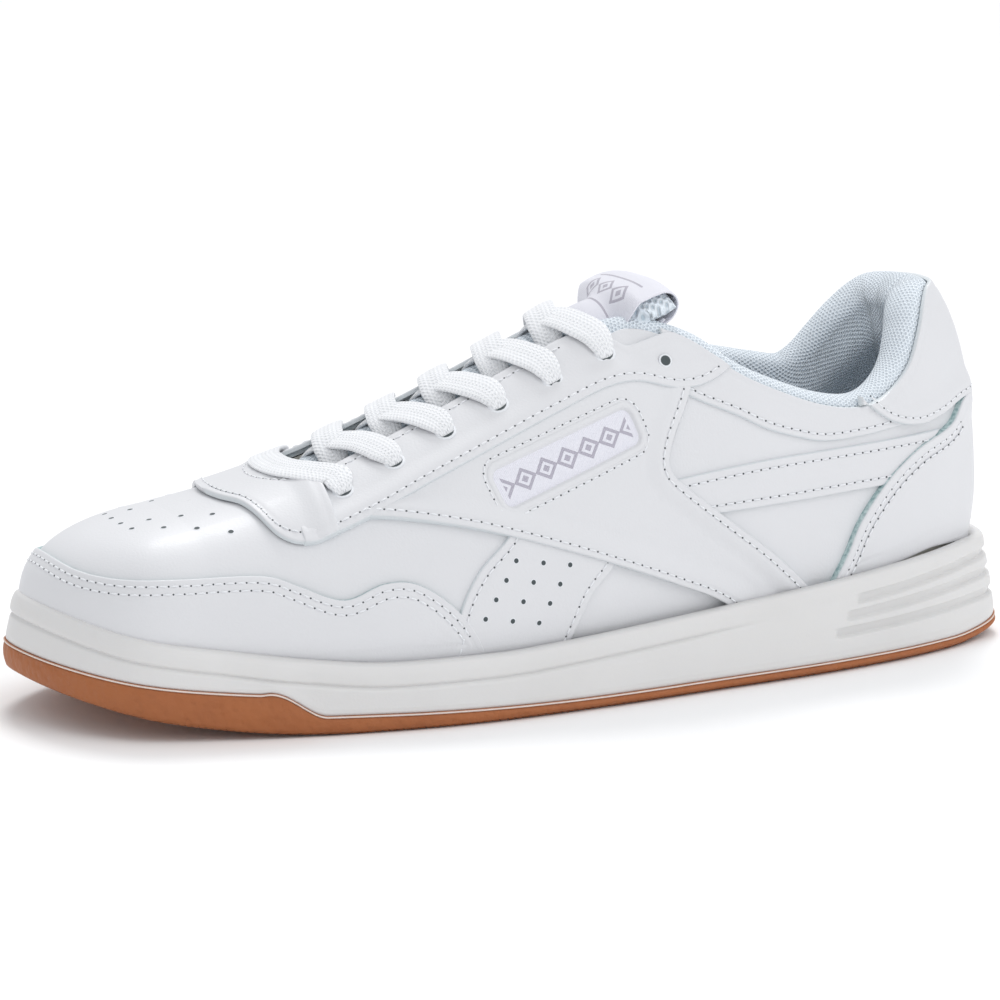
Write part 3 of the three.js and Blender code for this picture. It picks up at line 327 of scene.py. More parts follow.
def grid_faces(rows, columns, wrap_rows=False, wrap_columns=False, flip=False):
    """Four-sided faces between neighbouring rows and columns of a grid, joined round where asked."""
    r = np.arange(rows if wrap_rows else rows - 1)[:, None]
    c = np.arange(columns if wrap_columns else columns - 1)[None, :]
    r2, c2 = (r + 1) % rows, (c + 1) % columns
    faces = np.stack([r * columns + c, r * columns + c2, r2 * columns + c2, r2 * columns + c],
                     -1).reshape(-1, 4)
    return faces[:, ::-1] if flip else faces


def finished(piece, body, material, slot, *nodes):
    """Gives a piece its material and its body, and hides the CAD nodes that it stands for; slot is not used.
    """
    piece.data.materials.clear()
    piece.data.materials.append(material)
    if body:
        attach(piece, body)
    if nodes:
        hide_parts(*nodes)
    return piece


def spine(x):
    """The middle line of the sole, from the centre of the heel's fan to the centre of the toe's."""
    t = np.clip(x, toe_x, heel_x)
    return t, smooth(t, [[-106, 9.4], [-75, 5.4], [-40, 1.4], [0, -1.6], [40, -0.6], [100, 3.4]])


columns = stations(90, 420, 90)
sole_x, _ = footprint(columns)
middle_x, middle_y = spine(footprint(columns, feather_inset(sole_x))[0])


def sole_ring(inset, height):
    """A closed row round the sole at that inset and height."""
    x, y = footprint(columns, inset)
    return np.stack([x, y, height + np.zeros_like(x)], -1)


def sole_middle(height):
    """The row in which all the sections meet, on the middle line."""
    return np.stack([middle_x, middle_y, height(middle_x)], -1)


low, top, sheet = floor_lift(sole_x), gum_top(sole_x), floor_lift(sole_x) + 3.6
tread_rows = [sole_ring(inset, low) for inset in (30, 16, 7, 4.2)]
groove_rows = [sole_ring(3.6, low + 1.1), sole_ring(3.1, low + 1.1), sole_ring(2.6, low + 0.1)]
wall_rows = [sole_ring(1.6, low + 0.25), sole_ring(0.9, low + 0.8)]
wall_rows += [sole_ring(0.45 * (1 - q)**2 - 0.35 * np.sin(np.pi * q), low + 1 + (top - low - 2.1) * q)
              for q in np.linspace(0, 1, 9)]
lip_rows = [sole_ring(0.05, top - 0.95), sole_ring(0.5, top - 0.75), sole_ring(0.5, top - 0.6),
            sole_ring(-0.1, top - 0.45), sole_ring(-0.15, top - 0.2), sole_ring(0.25, top),
            sole_ring(2.3, top), sole_ring(2.6, sheet), sole_ring(14, sheet)]
outsole_rows = [sole_middle(floor_lift)] + tread_rows + groove_rows + wall_rows + lip_rows
outsole_rows.append(sole_middle(lambda x: floor_lift(x) + 3.6))
outsole_rows = np.array(outsole_rows)
lip_mark = np.zeros(outsole_rows.shape[:2])
lip_mark[-8:-5] = 1
outsole = body_mesh("gum_outsole", outsole_rows.reshape(-1, 3),
                    grid_faces(len(outsole_rows), len(columns), wrap_columns=True, flip=True),
                    {"lip": lip_mark.ravel()})
gum = Finish("gum_rubber", roughness=0.55, subsurface_weight=0.06)
gum.surface.inputs["Subsurface Radius"].default_value = (0.004, 0.002, 0.001)
where = gum.place()
pebbles = gum.cells(where, 430, "SMOOTH_F1") + gum.noise(where, 900, 3) * 0.35
x, y, z = gum.parts(where)
zigzag = (x * 1000 + y.math("PINGPONG", y * 1000, 6)).wave(4.5).ramp(-0.35, 0.35)
under = gum.node("ShaderNodeNewGeometry", {}, out="Normal")
facing_down = gum.parts(under)[2] < -0.8
shade = gum.noise(where, 60, 4)
tan = gum.blend(shade, (0.31, 0.093, 0.026), (0.40, 0.130, 0.036))
tan = gum.blend(gum.kept("lip") * 0.75, tan, (0.93, 0.90, 0.86))
gum.wear(colour=tan, roughness=0.5 + gum.noise(where, 300) * 0.2,
         height=pebbles * (1 - facing_down) + facing_down * zigzag * 3, depth=0.0006, strength=0.95)
finished(outsole, "shoe", gum.material, "gum_rubber", "outsole")


# ---- Cup sole
# A cup of white rubber. Its wall leans in, ends in a rounded bead round the upper, and has three scooped
# channels round the heel, so that the heel steps outwards on its way down.
def cup_top(x):
    return smooth(x, [[-150, 34], [-132, 28.5], [-105, 23.8], [-85, 20.6], [-65, 18.4], [-40, 18.2],
                      [-20, 18.5], [60, 24], [150, 31]])


cup_height = cup_top(sole_x)
lean = 4.6 * (0.85 + 0.15 * step(sole_x, -116, -104))
levels = np.concatenate([[0.0, 0.012, 0.03], np.linspace(0.06, 1, 110)])[:, None]
wall_z = top + 0.05 + (cup_height - 0.5 - top) * levels
wall_inset = 0.2 * (levels < 0.02) + np.interp(levels, [0, 0.12, 0.45, 0.8, 1],
                                               [0.06, 0.1, 0.36, 0.72, 0.97]) * lean
under_top = cup_height - wall_z
front = step(-sole_x, -62, -30)
bead = np.sqrt(np.clip(1 - ((under_top - 3.1) / 3.1)**2, 0, 1)) * 0.75
crease = np.exp(-((under_top - 6.4) / 0.55)**2) * 0.5
wall_inset += (crease - bead + 0.25) * front - 0.35 * (1 - front) * np.exp(-((under_top - 2.4) / 2.2)**2)
wall_inset += 1.2 * np.exp(-(under_top / 0.55)**2)
for start, low_end, high_end in [(88, 18.6, 24.4), (83.5, 14.3, 18.8), (79, 9.9, 12.6)]:
    run = np.clip((sole_x - start) / (149 - start), 0, 1)
    drop = wall_z - (low_end + (high_end - low_end) * run**1.2)
    scoop = np.where(drop < 0, np.exp(-(drop / 0.3)**2), np.clip(1 - drop / 2.6, 0, 1)**0.7 * (drop < 2.6))
    wall_inset += 1.5 * scoop * step(sole_x, start, start + 2.5)
cup_rows = [sole_ring(wall_inset[j], wall_z[j]) for j in range(len(levels))]
cup_rows += [sole_ring(lean + 1.9, cup_height - 0.15), sole_ring(lean + 3.2, cup_height - 1.6),
             sole_ring(12, cup_height - 9), sole_ring(12.5, sheet + 3), sole_ring(13, sheet + 0.2),
             sole_ring(3.0, sheet + 0.2), sole_ring(2.9, top + 0.05)]
cupsole = body_mesh("cup_sole", np.array(cup_rows).reshape(-1, 3),
                    grid_faces(len(cup_rows), len(columns), wrap_rows=True, wrap_columns=True, flip=True))
cup = Finish("white_rubber", roughness=0.42, subsurface_weight=0.08)
cup.surface.inputs["Subsurface Radius"].default_value = (0.006, 0.005, 0.004)
where = cup.place()
mottle = cup.noise(where, 35, 4)
cup.wear(colour=cup.blend(mottle, (0.64, 0.635, 0.63), (0.70, 0.695, 0.69)), roughness=0.38 + mottle * 0.16,
         height=cup.noise(where, 1500, 3) + cup.noise(where, 90, 2) * 2, depth=0.00004)
finished(cupsole, "shoe", cup.material, "white_rubber", "cupsole")


# ---- Main leather: vamp and quarters
# White full-grain leather, 1.2 mm thick, lasted over the form of the foot and cemented down into the cup.
# The vamp is punched with vents; the quarters meet it under the side overlays.
crest_knots = [[-106, 54.5], [-90, 58], [-75, 62.5], [-60, 68], [-35, 79.5], [-10, 92.5], [15, 105],
               [40, 114.5],
               [60, 118], [80, 117], [100, 115]]
bed_knots = [[-70, 13], [0, 15], [60, 18], [120, 20], [150, 16.4]]
fullness_knots = [[-150, 4], [-106, 3.2], [-75, 2.7], [-40, 2.4], [0, 2.2], [80, 2.3], [105, 2.6], [125, 3],
                  [150, 3]]


def bed_height(x):
    return np.minimum(floor_lift(x, 8.4), 8.4) + smooth(x, bed_knots)


def form(a, t):
    """The last. Its section at share a runs from the feather line (t = 0) to the crest (t = 90 degrees) as a
    superellipse: across 1 - cos^(2/n) t, up sin^(2/n) t; round the toe and the heel the sections fan out."""
    a, t = np.broadcast_arrays(np.asarray(a, float), np.clip(t, 0, np.pi / 2))
    base_x, base_y = footprint(a, feather_inset(footprint(a)[0]))
    centre_x, centre_y = spine(base_x)
    dx, dy = centre_x - base_x, centre_y - base_y
    reach = np.hypot(dx, dy)
    n = smooth(base_x, fullness_knots)
    bed = bed_height(base_x)
    run = 1 - np.maximum(np.cos(t), 0)**(2 / n)
    rise = np.sin(t)**(2 / n)
    slope = 0.16 * np.maximum(dx, 0)
    tuck = 3 * np.maximum(0, 1 - t / 0.16)**2 / reach
    return np.stack([base_x + dx * (run + tuck), base_y + dy * (run + tuck),
                     bed + (smooth(centre_x, crest_knots) - bed - slope) * rise + slope * run], -1)


def unit(v):
    return v / np.maximum(np.linalg.norm(v, axis=-1, keepdims=True), 1e-9)


def slopes(a, t):
    """How the form moves for a small change of a and of t, from differences either side."""
    da, dt = 0.0016, 0.012
    a, t = np.broadcast_arrays(np.asarray(a, float), np.asarray(t, float))
    low_t, high_t = np.clip(t - dt, 0.01, np.pi / 2 - 0.004), np.clip(t + dt, 0.02, np.pi / 2)
    along = (form(a + da, t) - form(a - da, t)) / (2 * da)
    up = (form(a, high_t) - form(a, low_t)) / (high_t - low_t)[..., None]
    return along, up


def outward(a, t):
    """Unit direction out of the form; straight up where the sections meet on the toe's crest."""
    a, t = np.broadcast_arrays(np.asarray(a, float), np.asarray(t, float))
    edge = np.minimum(t, 1.47)
    along, up = slopes(a, edge)
    n = unit(np.cross(up, along))
    mirrored = np.where(np.mod(a, 1) <= tip, share_at(form(a, edge)[..., 0], 1),
                        share_at(form(a, edge)[..., 0], -1))
    along2, up2 = slopes(mirrored, edge)
    share = step(t, 1.40, 1.72)[..., None]
    return unit(n * (1 - share) + unit(np.cross(up2, along2)) * share)


def skin(a, t, height=0.0):
    """A point of the upper, height above the outer face of the main leather."""
    height = np.asarray(height, float)
    return form(a, t) + outward(a, t) * (height[..., None] if height.ndim else height)


def turn_at_height(a, z):
    """The angle t at which the section at share a reaches height z, by halving."""
    a, z = np.broadcast_arrays(np.asarray(a, float), np.asarray(z, float))
    low_t, high_t = np.zeros(a.shape), np.full(a.shape, np.pi / 2)
    for _ in range(26):
        mid = (low_t + high_t) / 2
        under = form(a, mid)[..., 2] < z
        low_t, high_t = np.where(under, mid, low_t), np.where(under, high_t, mid)
    return (low_t + high_t) / 2


def turn_at_line(a, line):
    """The angle at which the section at share a crosses a side-view line z(x), by halving."""
    a = np.asarray(a, float)
    low_t, high_t = np.zeros(a.shape), np.full(a.shape, np.pi / 2)
    for _ in range(26):
        mid = (low_t + high_t) / 2
        p = form(a, mid)
        under = p[..., 2] < np.interp(p[..., 0], line[:, 0], line[:, 1])
        low_t, high_t = np.where(under, mid, low_t), np.where(under, high_t, mid)
    return (low_t + high_t) / 2


def turn_off_crest(a, v):
    """The angle at which the section at share a is v mm away from the crest."""
    base_x, base_y = footprint(a, feather_inset(footprint(a)[0]))
    reach = np.abs(spine(base_x)[1] - base_y)
    return np.arccos(np.clip((v / reach)**(smooth(base_x, fullness_knots) / 2), 0, 1))


def seam(points, side, steps=8):
    """A side-view pattern line laid on the form: rows of (share, angle)."""
    line = catmull(points, steps)
    a = share_at(line[:, 0], side)
    return np.stack([a, turn_at_height(a, line[:, 1])], -1)


def spaced(length, fine, coarse):
    """Distances along a strip: close at both finished ends, coarse apart between them."""
    ends = np.array(fine)
    count = max(2, int(np.ceil((length - 2 * ends[-1]) / coarse)) + 1)
    if length <= 2.4 * ends[-1]:
        return np.linspace(0, length, count + 2 * len(ends) - 2)
    return np.concatenate([ends[:-1], np.linspace(ends[-1], length - ends[-1], count), length - ends[-2::-1]])


def nearest(points, line):
    """Distance from each point to the nearest of a line's points."""
    flat = points.reshape(-1, 3)
    reach = np.empty(len(flat))
    size = (line**2).sum(1)
    for start in range(0, len(flat), 4000):
        part = flat[start:start + 4000]
        square = (part**2).sum(1)[:, None] + size - 2 * part @ line.T
        reach[start:start + 4000] = np.sqrt(np.maximum(square.min(1), 0))
    return reach.reshape(points.shape[:-1])


def along_strip(edge, places, at=form):
    """Points at those shares of an edge's own length on the form."""
    p = at(*edge.T)
    gone = np.concatenate([[0], np.cumsum(np.linalg.norm(np.diff(p, axis=0), axis=1))])
    gone /= gone[-1]
    return np.stack([np.interp(places, gone, edge[:, k]) for k in (0, 1)], -1)


def sheet_faces(rows, cols):
    """Faces of a closed sheet: a grid, the same grid turned over, and a skirt that joins their edges."""
    faces = grid_faces(rows, cols)
    ring = np.concatenate([np.arange(cols), np.arange(1, rows) * cols + cols - 1,
                           (rows - 1) * cols + np.arange(cols - 2, -1, -1),
                           np.arange(rows - 2, 0, -1) * cols])
    after = np.roll(ring, -1)
    skirt = np.stack([ring, ring + rows * cols, after + rows * cols, after], -1)
    return np.concatenate([faces, faces[:, ::-1] + rows * cols, skirt])


close = [0, 0.07, 0.18, 0.35, 0.6, 0.95, 1.5, 2.3, 3.2]


def leather(name, low_edge, high_edge, lift=0.05, thick=1.2, rounding=0.55, over=0.0, over_edges=(1, 1, 1, 1),
            seams=(2.4,), coarse=1.3, relief=None, even=False, at=form, out_of=outward):
    """A leather piece between two edges on the form. Across the piece, share and angle run straight from one
    edge to the other. Its height is lift + thick, rounded to nothing at the edge as a quarter of an ellipse,
    raised by over near the edge where it lies on its neighbour, and drawn down along its seams."""
    if not even:
        length = max(np.linalg.norm(np.diff(at(*edge.T), axis=0), axis=1).sum() for edge in (low_edge,
                                                                                             high_edge))
        places = spaced(length, close, coarse) / length
        low_line, high_line = along_strip(low_edge, places, at), along_strip(high_edge, places, at)
    else:
        low_line, high_line = low_edge, high_edge
    chord = at(*low_line.T) - at(*high_line.T)
    width = np.linalg.norm(chord, axis=1)
    count = max(4, int(np.ceil((width.max() * 1.08 - 6.4) / coarse)) + 1)
    ends = np.array(close)[:, None] / np.maximum(width, 1e-6)
    ends = np.minimum(ends, np.linspace(0, 0.45, len(close))[:, None])
    middle = ends[-1] + (1 - 2 * ends[-1]) * np.linspace(0, 1, count)[1:-1, None]
    share = np.concatenate([ends, middle, 1 - ends[::-1]])[..., None]
    spots = low_line + (high_line - low_line) * share
    a, t = spots[..., 0], spots[..., 1]
    ground = at(a, t)
    out = out_of(a, t)
    sides = [ground[0], ground[-1], ground[:, 0], ground[:, -1]]
    off_crest = np.concatenate([t[0], t[-1], t[:, 0], t[:, -1]]) < np.pi / 2 - 1e-4
    rim_line = np.concatenate(sides)[off_crest]
    reach = nearest(ground, rim_line)
    height = lift + thick * np.sqrt(1 - (1 - np.clip(reach / rounding, 0, 1))**2)
    if over:
        lines = np.concatenate([s for s, on in zip(sides, over_edges) if on])
        height += over * (1 - step(nearest(ground, lines), 2.5, 9)) * np.clip(reach / 0.2, 0, 1)
    for distance in seams:
        height -= 0.16 * np.exp(-((reach - distance) / 0.55)**2)
    if relief is not None:
        height += relief(ground, reach)
    outer = ground + out * height[..., None]
    inner = ground + out * (lift - 0.1)
    rows, cols = a.shape
    points = np.concatenate([outer.reshape(-1, 3), inner.reshape(-1, 3)])
    faces = sheet_faces(rows, cols)
    facing = np.cross(np.roll(outer, -1, 1) - outer, np.roll(outer, -1, 0) - outer)[:-1, :-1]
    if (facing * out[:-1, :-1]).sum() < 0:
        faces = faces[:, ::-1]
    cut = np.concatenate([reach.ravel(), np.zeros(rows * cols)])
    return body_mesh(name, points, faces, {"cut": cut})


hide = Finish("white_leather", roughness=0.46, coat_weight=0.05)
where = hide.place()
tone = hide.noise(where, 28, 3)
grain = hide.cells(where, 1500, "SMOOTH_F1") * 0.7 + hide.noise(where, 2600, 2) * 0.5
edge_share = hide.kept("cut").ramp(0.02, 0.5)
face = hide.blend(tone, (0.665, 0.67, 0.69), (0.70, 0.705, 0.725))
hide.wear(colour=hide.blend(edge_share, (0.66, 0.70, 0.72), face), roughness=0.42 + tone * 0.12,
          height=grain + hide.noise(where, 55, 2) * 2.5, depth=0.00005, strength=0.8)
raw = Finish("raw_edged_leather", roughness=0.46, coat_weight=0.05)
where = raw.place()
tone = raw.noise(where, 28, 3)
fibres = raw.noise(where, 900, 4)
grain = raw.cells(where, 1500, "SMOOTH_F1") * 0.7 + raw.noise(where, 2600, 2) * 0.5
edge_share = raw.kept("cut").ramp(0.10, 0.26)
core = raw.blend(fibres.ramp(0.35, 0.65), (0.24, 0.36, 0.37), (0.48, 0.60, 0.60))
face = raw.blend(tone, (0.665, 0.67, 0.69), (0.70, 0.705, 0.725))
raw.wear(colour=raw.blend(edge_share, core, face), roughness=0.42 + tone * 0.12,
         height=grain + raw.noise(where, 55, 2) * 2.5, depth=0.00005, strength=0.8)

sides = {"outer": -1, "inner": 1}


def toe_shares(from_x, middle, fan):
    """Shares from that x on the outer side, round the toe, to that x on the inner side."""
    outer = share_at(np.linspace(from_x, toe_x, middle), -1)
    inner = share_at(np.linspace(toe_x, from_x, middle), 1)
    return np.concatenate([outer, np.linspace(share_at(toe_x, -1), tip, fan)[1:],
                           np.linspace(tip, share_at(toe_x, 1), fan)[1:], inner[1:]])


vamp_a = toe_shares(-21, 90, 60)
vamp_base = form(vamp_a, 0.3)[:, 0]
to_throat = step(vamp_base, -88, -84)
vamp_top = np.pi / 2 * (1 - to_throat) + np.minimum(turn_off_crest(vamp_a, 17.0), np.pi / 2) * to_throat
vamp = leather("vamp_leather", np.stack([vamp_a, np.full_like(vamp_a, 0.03)], -1),
               np.stack([vamp_a, vamp_top], -1),
               lift=-1.2, rounding=0.3, seams=(), even=True)
finished(vamp, "shoe", hide.material, "white_leather", "vamp")

collar_lines = {
    "outer": catmull([[9, 99], [16, 101], [25, 101.5], [33, 99], [40, 95.8], [52, 87], [66, 80.4], [80, 75.5],
                      [92, 73.7], [99, 75], [106, 78.5], [112, 84], [117, 93], [120.5, 100], [124, 104],
                      [130, 105.5], [160, 108]], 8),
    "inner": catmull([[9, 94], [16, 95.5], [25, 95.5], [33, 93], [40, 91.5], [52, 87.5], [66, 84], [80, 81],
                      [92, 79], [98, 82], [104, 88.5], [110, 95.5], [116, 101], [121, 104], [130, 105.5],
                      [160, 108]], 8)}


def heel_shares(from_x, side, middle=60, fan=40):
    """Shares from that x on one side to the middle of the heel."""
    last = 0.0 if side < 0 else 1.0
    mids = share_at(np.linspace(from_x, heel_x, middle), side)
    return np.concatenate([mids, np.linspace(mids[-1], last, fan)[1:]])


for name, side in sides.items():
    a = heel_shares(-21.3, side, 110, 40)
    x = form(a, 0.5)[:, 0]
    high = np.minimum(turn_off_crest(a, 17.0), turn_at_line(a, collar_lines[name] - [0, 1.5]))
    high = np.where(x < 14, turn_off_crest(a, 17.0),
                    np.where(x > 60, turn_at_line(a, collar_lines[name] - [0, 1.5]), high))
    quarter = leather(f"quarter_leather_{name}", np.stack([a, np.full_like(a, 0.03)], -1),
                      np.stack([a, high], -1),
                      lift=-1.2, rounding=0.3, seams=(), even=True)
    finished(quarter, "shoe", hide.material, "white_leather", f"quarter_{name}")


# ---- Thread
# White polyester lockstitch, a stitch every 3 mm. Each stitch is drawn down at its ends into the needle's
# holes, drawn as small dots painted near-black as painted shade.
stitch_ends, hole_spots = [], []


def offset(edge, distance, towards):
    """A line on the form at that distance from an edge, on the side of the points towards."""
    p = form(*edge.T)
    n = outward(*edge.T)
    way = unit(np.gradient(p, axis=0))
    across = unit(np.cross(n, way))
    facing = form(*along_strip(towards, np.linspace(0, 1, len(edge))).T) - p
    across *= np.sign((across * facing).sum(-1).mean())
    along, up = slopes(*edge.T)
    for_share, for_turn = (across * along).sum(-1), (across * up).sum(-1)
    aa, uu, au = (along**2).sum(-1), (up**2).sum(-1), (along * up).sum(-1)
    fixed = aa * uu - au**2
    move = np.stack([for_share * uu - for_turn * au, for_turn * aa - for_share * au], -1) / fixed[:, None]
    return edge + move * distance


def sew(line, height, pitch=3.0, trim=0.0, at=form, out_of=outward):
    """Stitches at that pitch along a line on the form, the thread lying at that height."""
    p = at(*line.T)
    n = out_of(*line.T)
    p = p + n * height
    gone = np.concatenate([[0], np.cumsum(np.linalg.norm(np.diff(p, axis=0), axis=1))])
    marks = np.arange(trim, gone[-1] - trim, pitch)
    at = np.stack([np.interp(marks, gone, p[:, k]) for k in range(3)], -1)
    out = unit(np.stack([np.interp(marks, gone, n[:, k]) for k in range(3)], -1))
    stitch_ends.append(np.stack([at[:-1], at[1:], out[:-1]], 1))
    hole_spots.append(np.stack([at, out], 1))


def sewn_edge(low_edge, high_edge, height=1.2, rows=(2.4,), trim=1.0):
    """Rows of stitches that follow the low edge of a piece."""
    for distance in rows:
        sew(offset(low_edge, distance, high_edge), height, trim=trim)


# ---- Toe guard
# A wavy leather overlay round the toe, cut raw at its upper edge and held by two rows of stitches.
guard_line = catmull([[-170, 46], [-142, 46], [-136, 42.8], [-115, 42.3], [-91, 42], [-84, 39.5], [-72, 35.3],
                      [-61, 38.8], [-54, 38.9], [-48, 36.3], [-40, 29.5], [-33, 19], [-30, 5]], 8)
guard_a = toe_shares(-31.5, 150, 90)
guard_low = np.stack([guard_a, np.full_like(guard_a, 0.03)], -1)
guard_high = np.stack([guard_a, turn_at_line(guard_a, guard_line)], -1)
toe_guard = leather("toe_guard_leather", guard_low, guard_high, seams=(2.2, 4.2), thick=1.3, even=True)
finished(toe_guard, "shoe", raw.material, "white_leather", "toe_guard")
sewn_edge(guard_high[8:-8], guard_low[8:-8], 1.22, rows=(2.0, 4.0))


# ---- Front straps
# One broad leather strap on each side, with a field of punched holes. It runs from under the side
# overlay down into the cup.
for name, side in sides.items():
    fore = seam([[-22.3, 53.5], [-24, 49], [-34, 40], [-40, 30], [-43, 16]], side)
    rear = seam([[10.5, 44.5], [8, 38.5], [0, 30], [-6, 18], [-8, 12]], side)
    strap = leather(f"front_strap_leather_{name}", fore, rear)
    finished(strap, "shoe", hide.material, "white_leather", f"front_strap_{name}")
    sewn_edge(fore, rear)
    sewn_edge(rear, fore)


# ---- Rear straps
# A level leather strap on each side, from the side overlay back into the heel piece.
for name, side in sides.items():
    roof = seam([[29, 59.3], [40, 60.4], [60, 62], [90, 63], [106, 63.4], [124, 63.8]], side)
    foot = seam([[35, 48.4], [46, 48.7], [70, 49.5], [90, 50.2], [108, 50.6]], side)
    strap = leather(f"rear_strap_leather_{name}", foot, roof)
    finished(strap, "shoe", hide.material, "white_leather", f"rear_strap_{name}")
    sewn_edge(foot, roof)
    sewn_edge(roof, foot)


# ---- Collar panels
# Soft leather under the padded collar, sewn down along one curved seam.
for name, side in sides.items():
    a = share_at(np.linspace(31, 112, 120), side)
    floor_line = catmull([[26, 87], [30, 85], [37, 81], [50.7, 75.1], [60.4, 70.4], [71.7, 66.9],
                          [79, 65.3], [92, 65.3],
                          [110, 67]], 8)
    foot = np.stack([a, turn_at_line(a, floor_line)], -1)
    roof = np.stack([a, turn_at_line(a, collar_lines[name])], -1)
    panel = leather(f"collar_panel_leather_{name}", foot, roof, thick=1.0, seams=(2.0,))
    finished(panel, "shoe", hide.material, "white_leather", f"collar_panel_{name}")
    sewn_edge(foot, roof, 1.0, rows=(2.0,))


# ---- Heel piece
# A leather overlay round the heel, cut raw at its front edge, with two rows of stitches behind it.
foxing_line = catmull([[78, 5], [81, 22], [86, 32], [90, 40], [96, 47.2], [104, 54.2], [114, 60], [128, 65.2],
                       [134, 71.7], [146, 76]], 8)
tab_line = catmull([[91, 79], [95, 74], [102, 69], [108, 67], [115, 66.3], [124, 68.2], [134, 71.5],
                    [160, 73]], 8)
heel_a = np.concatenate([heel_shares(78.6, -1, 130, 60), heel_shares(78.6, 1, 130, 60)[::-1][1:] - 1])
fox_high = np.minimum(turn_at_line(heel_a, foxing_line), turn_at_line(heel_a, tab_line + [0, 3.5]))
fox_low = np.stack([heel_a, np.full_like(heel_a, 0.03)], -1)
fox_high = np.stack([heel_a, fox_high], -1)
foxing = leather("heel_foxing_leather", fox_low, fox_high, seams=(2.7, 4.6), thick=1.3, over=0.9,
                 over_edges=(0, 1, 0, 0), even=True)
finished(foxing, "shoe", raw.material, "white_leather", "heel_foxing")
for part in (slice(8, 162), slice(-162, -8)):
    sewn_edge(fox_high[part], fox_low[part], 2.1, rows=(2.7, 4.6))


# ---- Heel tab
# The leather cap over the back of the heel, sewn down along its lower edge over the heel piece.
tab_a = np.concatenate([heel_shares(92.6, -1, 30, 60), heel_shares(92.6, 1, 30, 60)[::-1][1:] - 1])
tab_low = np.stack([tab_a, turn_at_line(tab_a, tab_line)], -1)
tab_high = np.stack([tab_a, np.where(tab_a > 0, turn_at_line(tab_a, collar_lines["outer"]),
                                     turn_at_line(tab_a, collar_lines["inner"]))], -1)
tab = leather("heel_tab_leather", tab_low, tab_high, over=1.1, over_edges=(1, 0, 0, 0), even=True)
finished(tab, "shoe", hide.material, "white_leather", "heel_tab")
sewn_edge(tab_low[3:-3], tab_high[3:-3], 2.27, rows=(2.0,))


# ---- Side overlays
# The large leather overlay on each side. The outer one has a window over the woven label, with a rolled
# rim and a loop of stitches.
eyestay_lines = {
    "outer": catmull([[-97, 60], [-91, 59], [-88.5, 55], [-85, 50.5], [-78, 49.2], [-69, 52], [-57, 56.6],
                      [-43, 62.8], [-27, 69.5], [-4, 79], [13, 85.3], [21, 86], [33, 83.5], [42, 84.5],
                      [53, 90], [60, 96]], 8),
    "inner": catmull([[-97, 60], [-91, 59], [-88.5, 55], [-85, 50.5], [-78, 48.2], [-69, 50], [-57, 53.6],
                      [-43, 58.3], [-27, 64], [-4, 72], [13, 77.3], [21, 78], [33, 76.5], [42, 78],
                      [53, 84], [60, 91]], 8)}
window_tilt = np.arctan2(14.2, 41)
window_half = np.array([23.0, 5.5])
window_corner = 3.0


def to_window(p):
    """Distance outside the window's rounded outline (negative inside), seen from the side."""
    x, z = p[..., 0] + 3.5, p[..., 2] - 67.8
    c, s = np.cos(window_tilt), np.sin(window_tilt)
    q = np.abs(np.stack([x * c + z * s, z * c - x * s], -1)) - (window_half - window_corner)
    return np.linalg.norm(np.maximum(q, 0), axis=-1) + np.minimum(q.max(-1), 0) - window_corner


for name, side in sides.items():
    lift_line = eyestay_lines[name] + [0, 4.0]
    a = share_at(np.linspace(-61.5, 36.5, 120), side)
    front_edge = np.stack([a, turn_at_line(a, lift_line)], -1)
    rear_top = 88 if side < 0 else 82
    rear_edge = seam([[38.0, rear_top], [35.5, 81.7 if side < 0 else 78], [29.5, 71.4], [27, 65],
                      [27.5, 61.5], [31, 58], [43.5, 48.3],
                      [63.6, 33.1], [78, 20], [83, 14]], side)
    roof = np.concatenate([front_edge, rear_edge[1:]])
    foot = seam([[-64, 55.1], [-54, 54.6], [-36, 51.7], [-20, 47.4], [3, 39.8], [27, 30.7], [43, 24],
                 [57, 14]], side)
    rear_rim = form(*rear_edge.T)
    has_window = side < 0

    def lap(p, reach):
        """Raised over the rear strap, and sunk inside the window."""
        raised = 0.9 * (1 - step(nearest(p, rear_rim), 2.5, 8)) * np.clip(reach / 0.2, 0, 1)
        return raised - (1.15 * (1 - step(to_window(p), -0.6, 0.9)) if has_window else 0)

    saddle = leather(f"side_overlay_leather_{name}", foot, roof, over=0.9, over_edges=(1, 0, 0, 0),
                     coarse=0.9, relief=lap)
    finished(saddle, "shoe", hide.material, "white_leather", f"saddle_{name}")
    sewn_edge(foot, roof, 2.08, rows=(2.1,))
    sewn_edge(rear_edge[6:], foot, 2.08, rows=(2.1,))


# ---- Eyestays and throat bridge
# The lacing panels, sewn on over everything else, and the curved piece that joins them in front.
throat_v = catmull([[-78, 0], [-76, 9.4], [-69, 14.5], [-58, 14], [-30, 13], [-6, 12], [8, 13], [20, 21]], 8)
for name, side in sides.items():
    a = share_at(np.linspace(-80, 52.6, 170), side)
    x = np.linspace(-80, 52.6, 170)
    v = np.interp(x, throat_v[:, 0], throat_v[:, 1])
    v = np.where(x < -69, 14.5, v)
    top_turn = np.minimum(turn_off_crest(a, v), np.where(x < 9, 9, turn_at_line(a, collar_lines[name])))
    foot = np.stack([a, turn_at_line(a, eyestay_lines[name])], -1)
    roof = np.stack([a, np.maximum(top_turn, foot[:, 1] + 1e-3)], -1)
    stay = leather(f"eyestay_leather_{name}", foot, roof, over=1.0, over_edges=(1, 0, 0, 0), seams=(2.4,))
    finished(stay, "shoe", hide.material, "white_leather", f"eyestay_{name}")
    sewn_edge(foot[10:-6], roof[10:-6], 2.14, rows=(2.3,))
    part = slice(18, 108)
    sew(offset(roof[part], 3.2, foot[part]), 1.22)


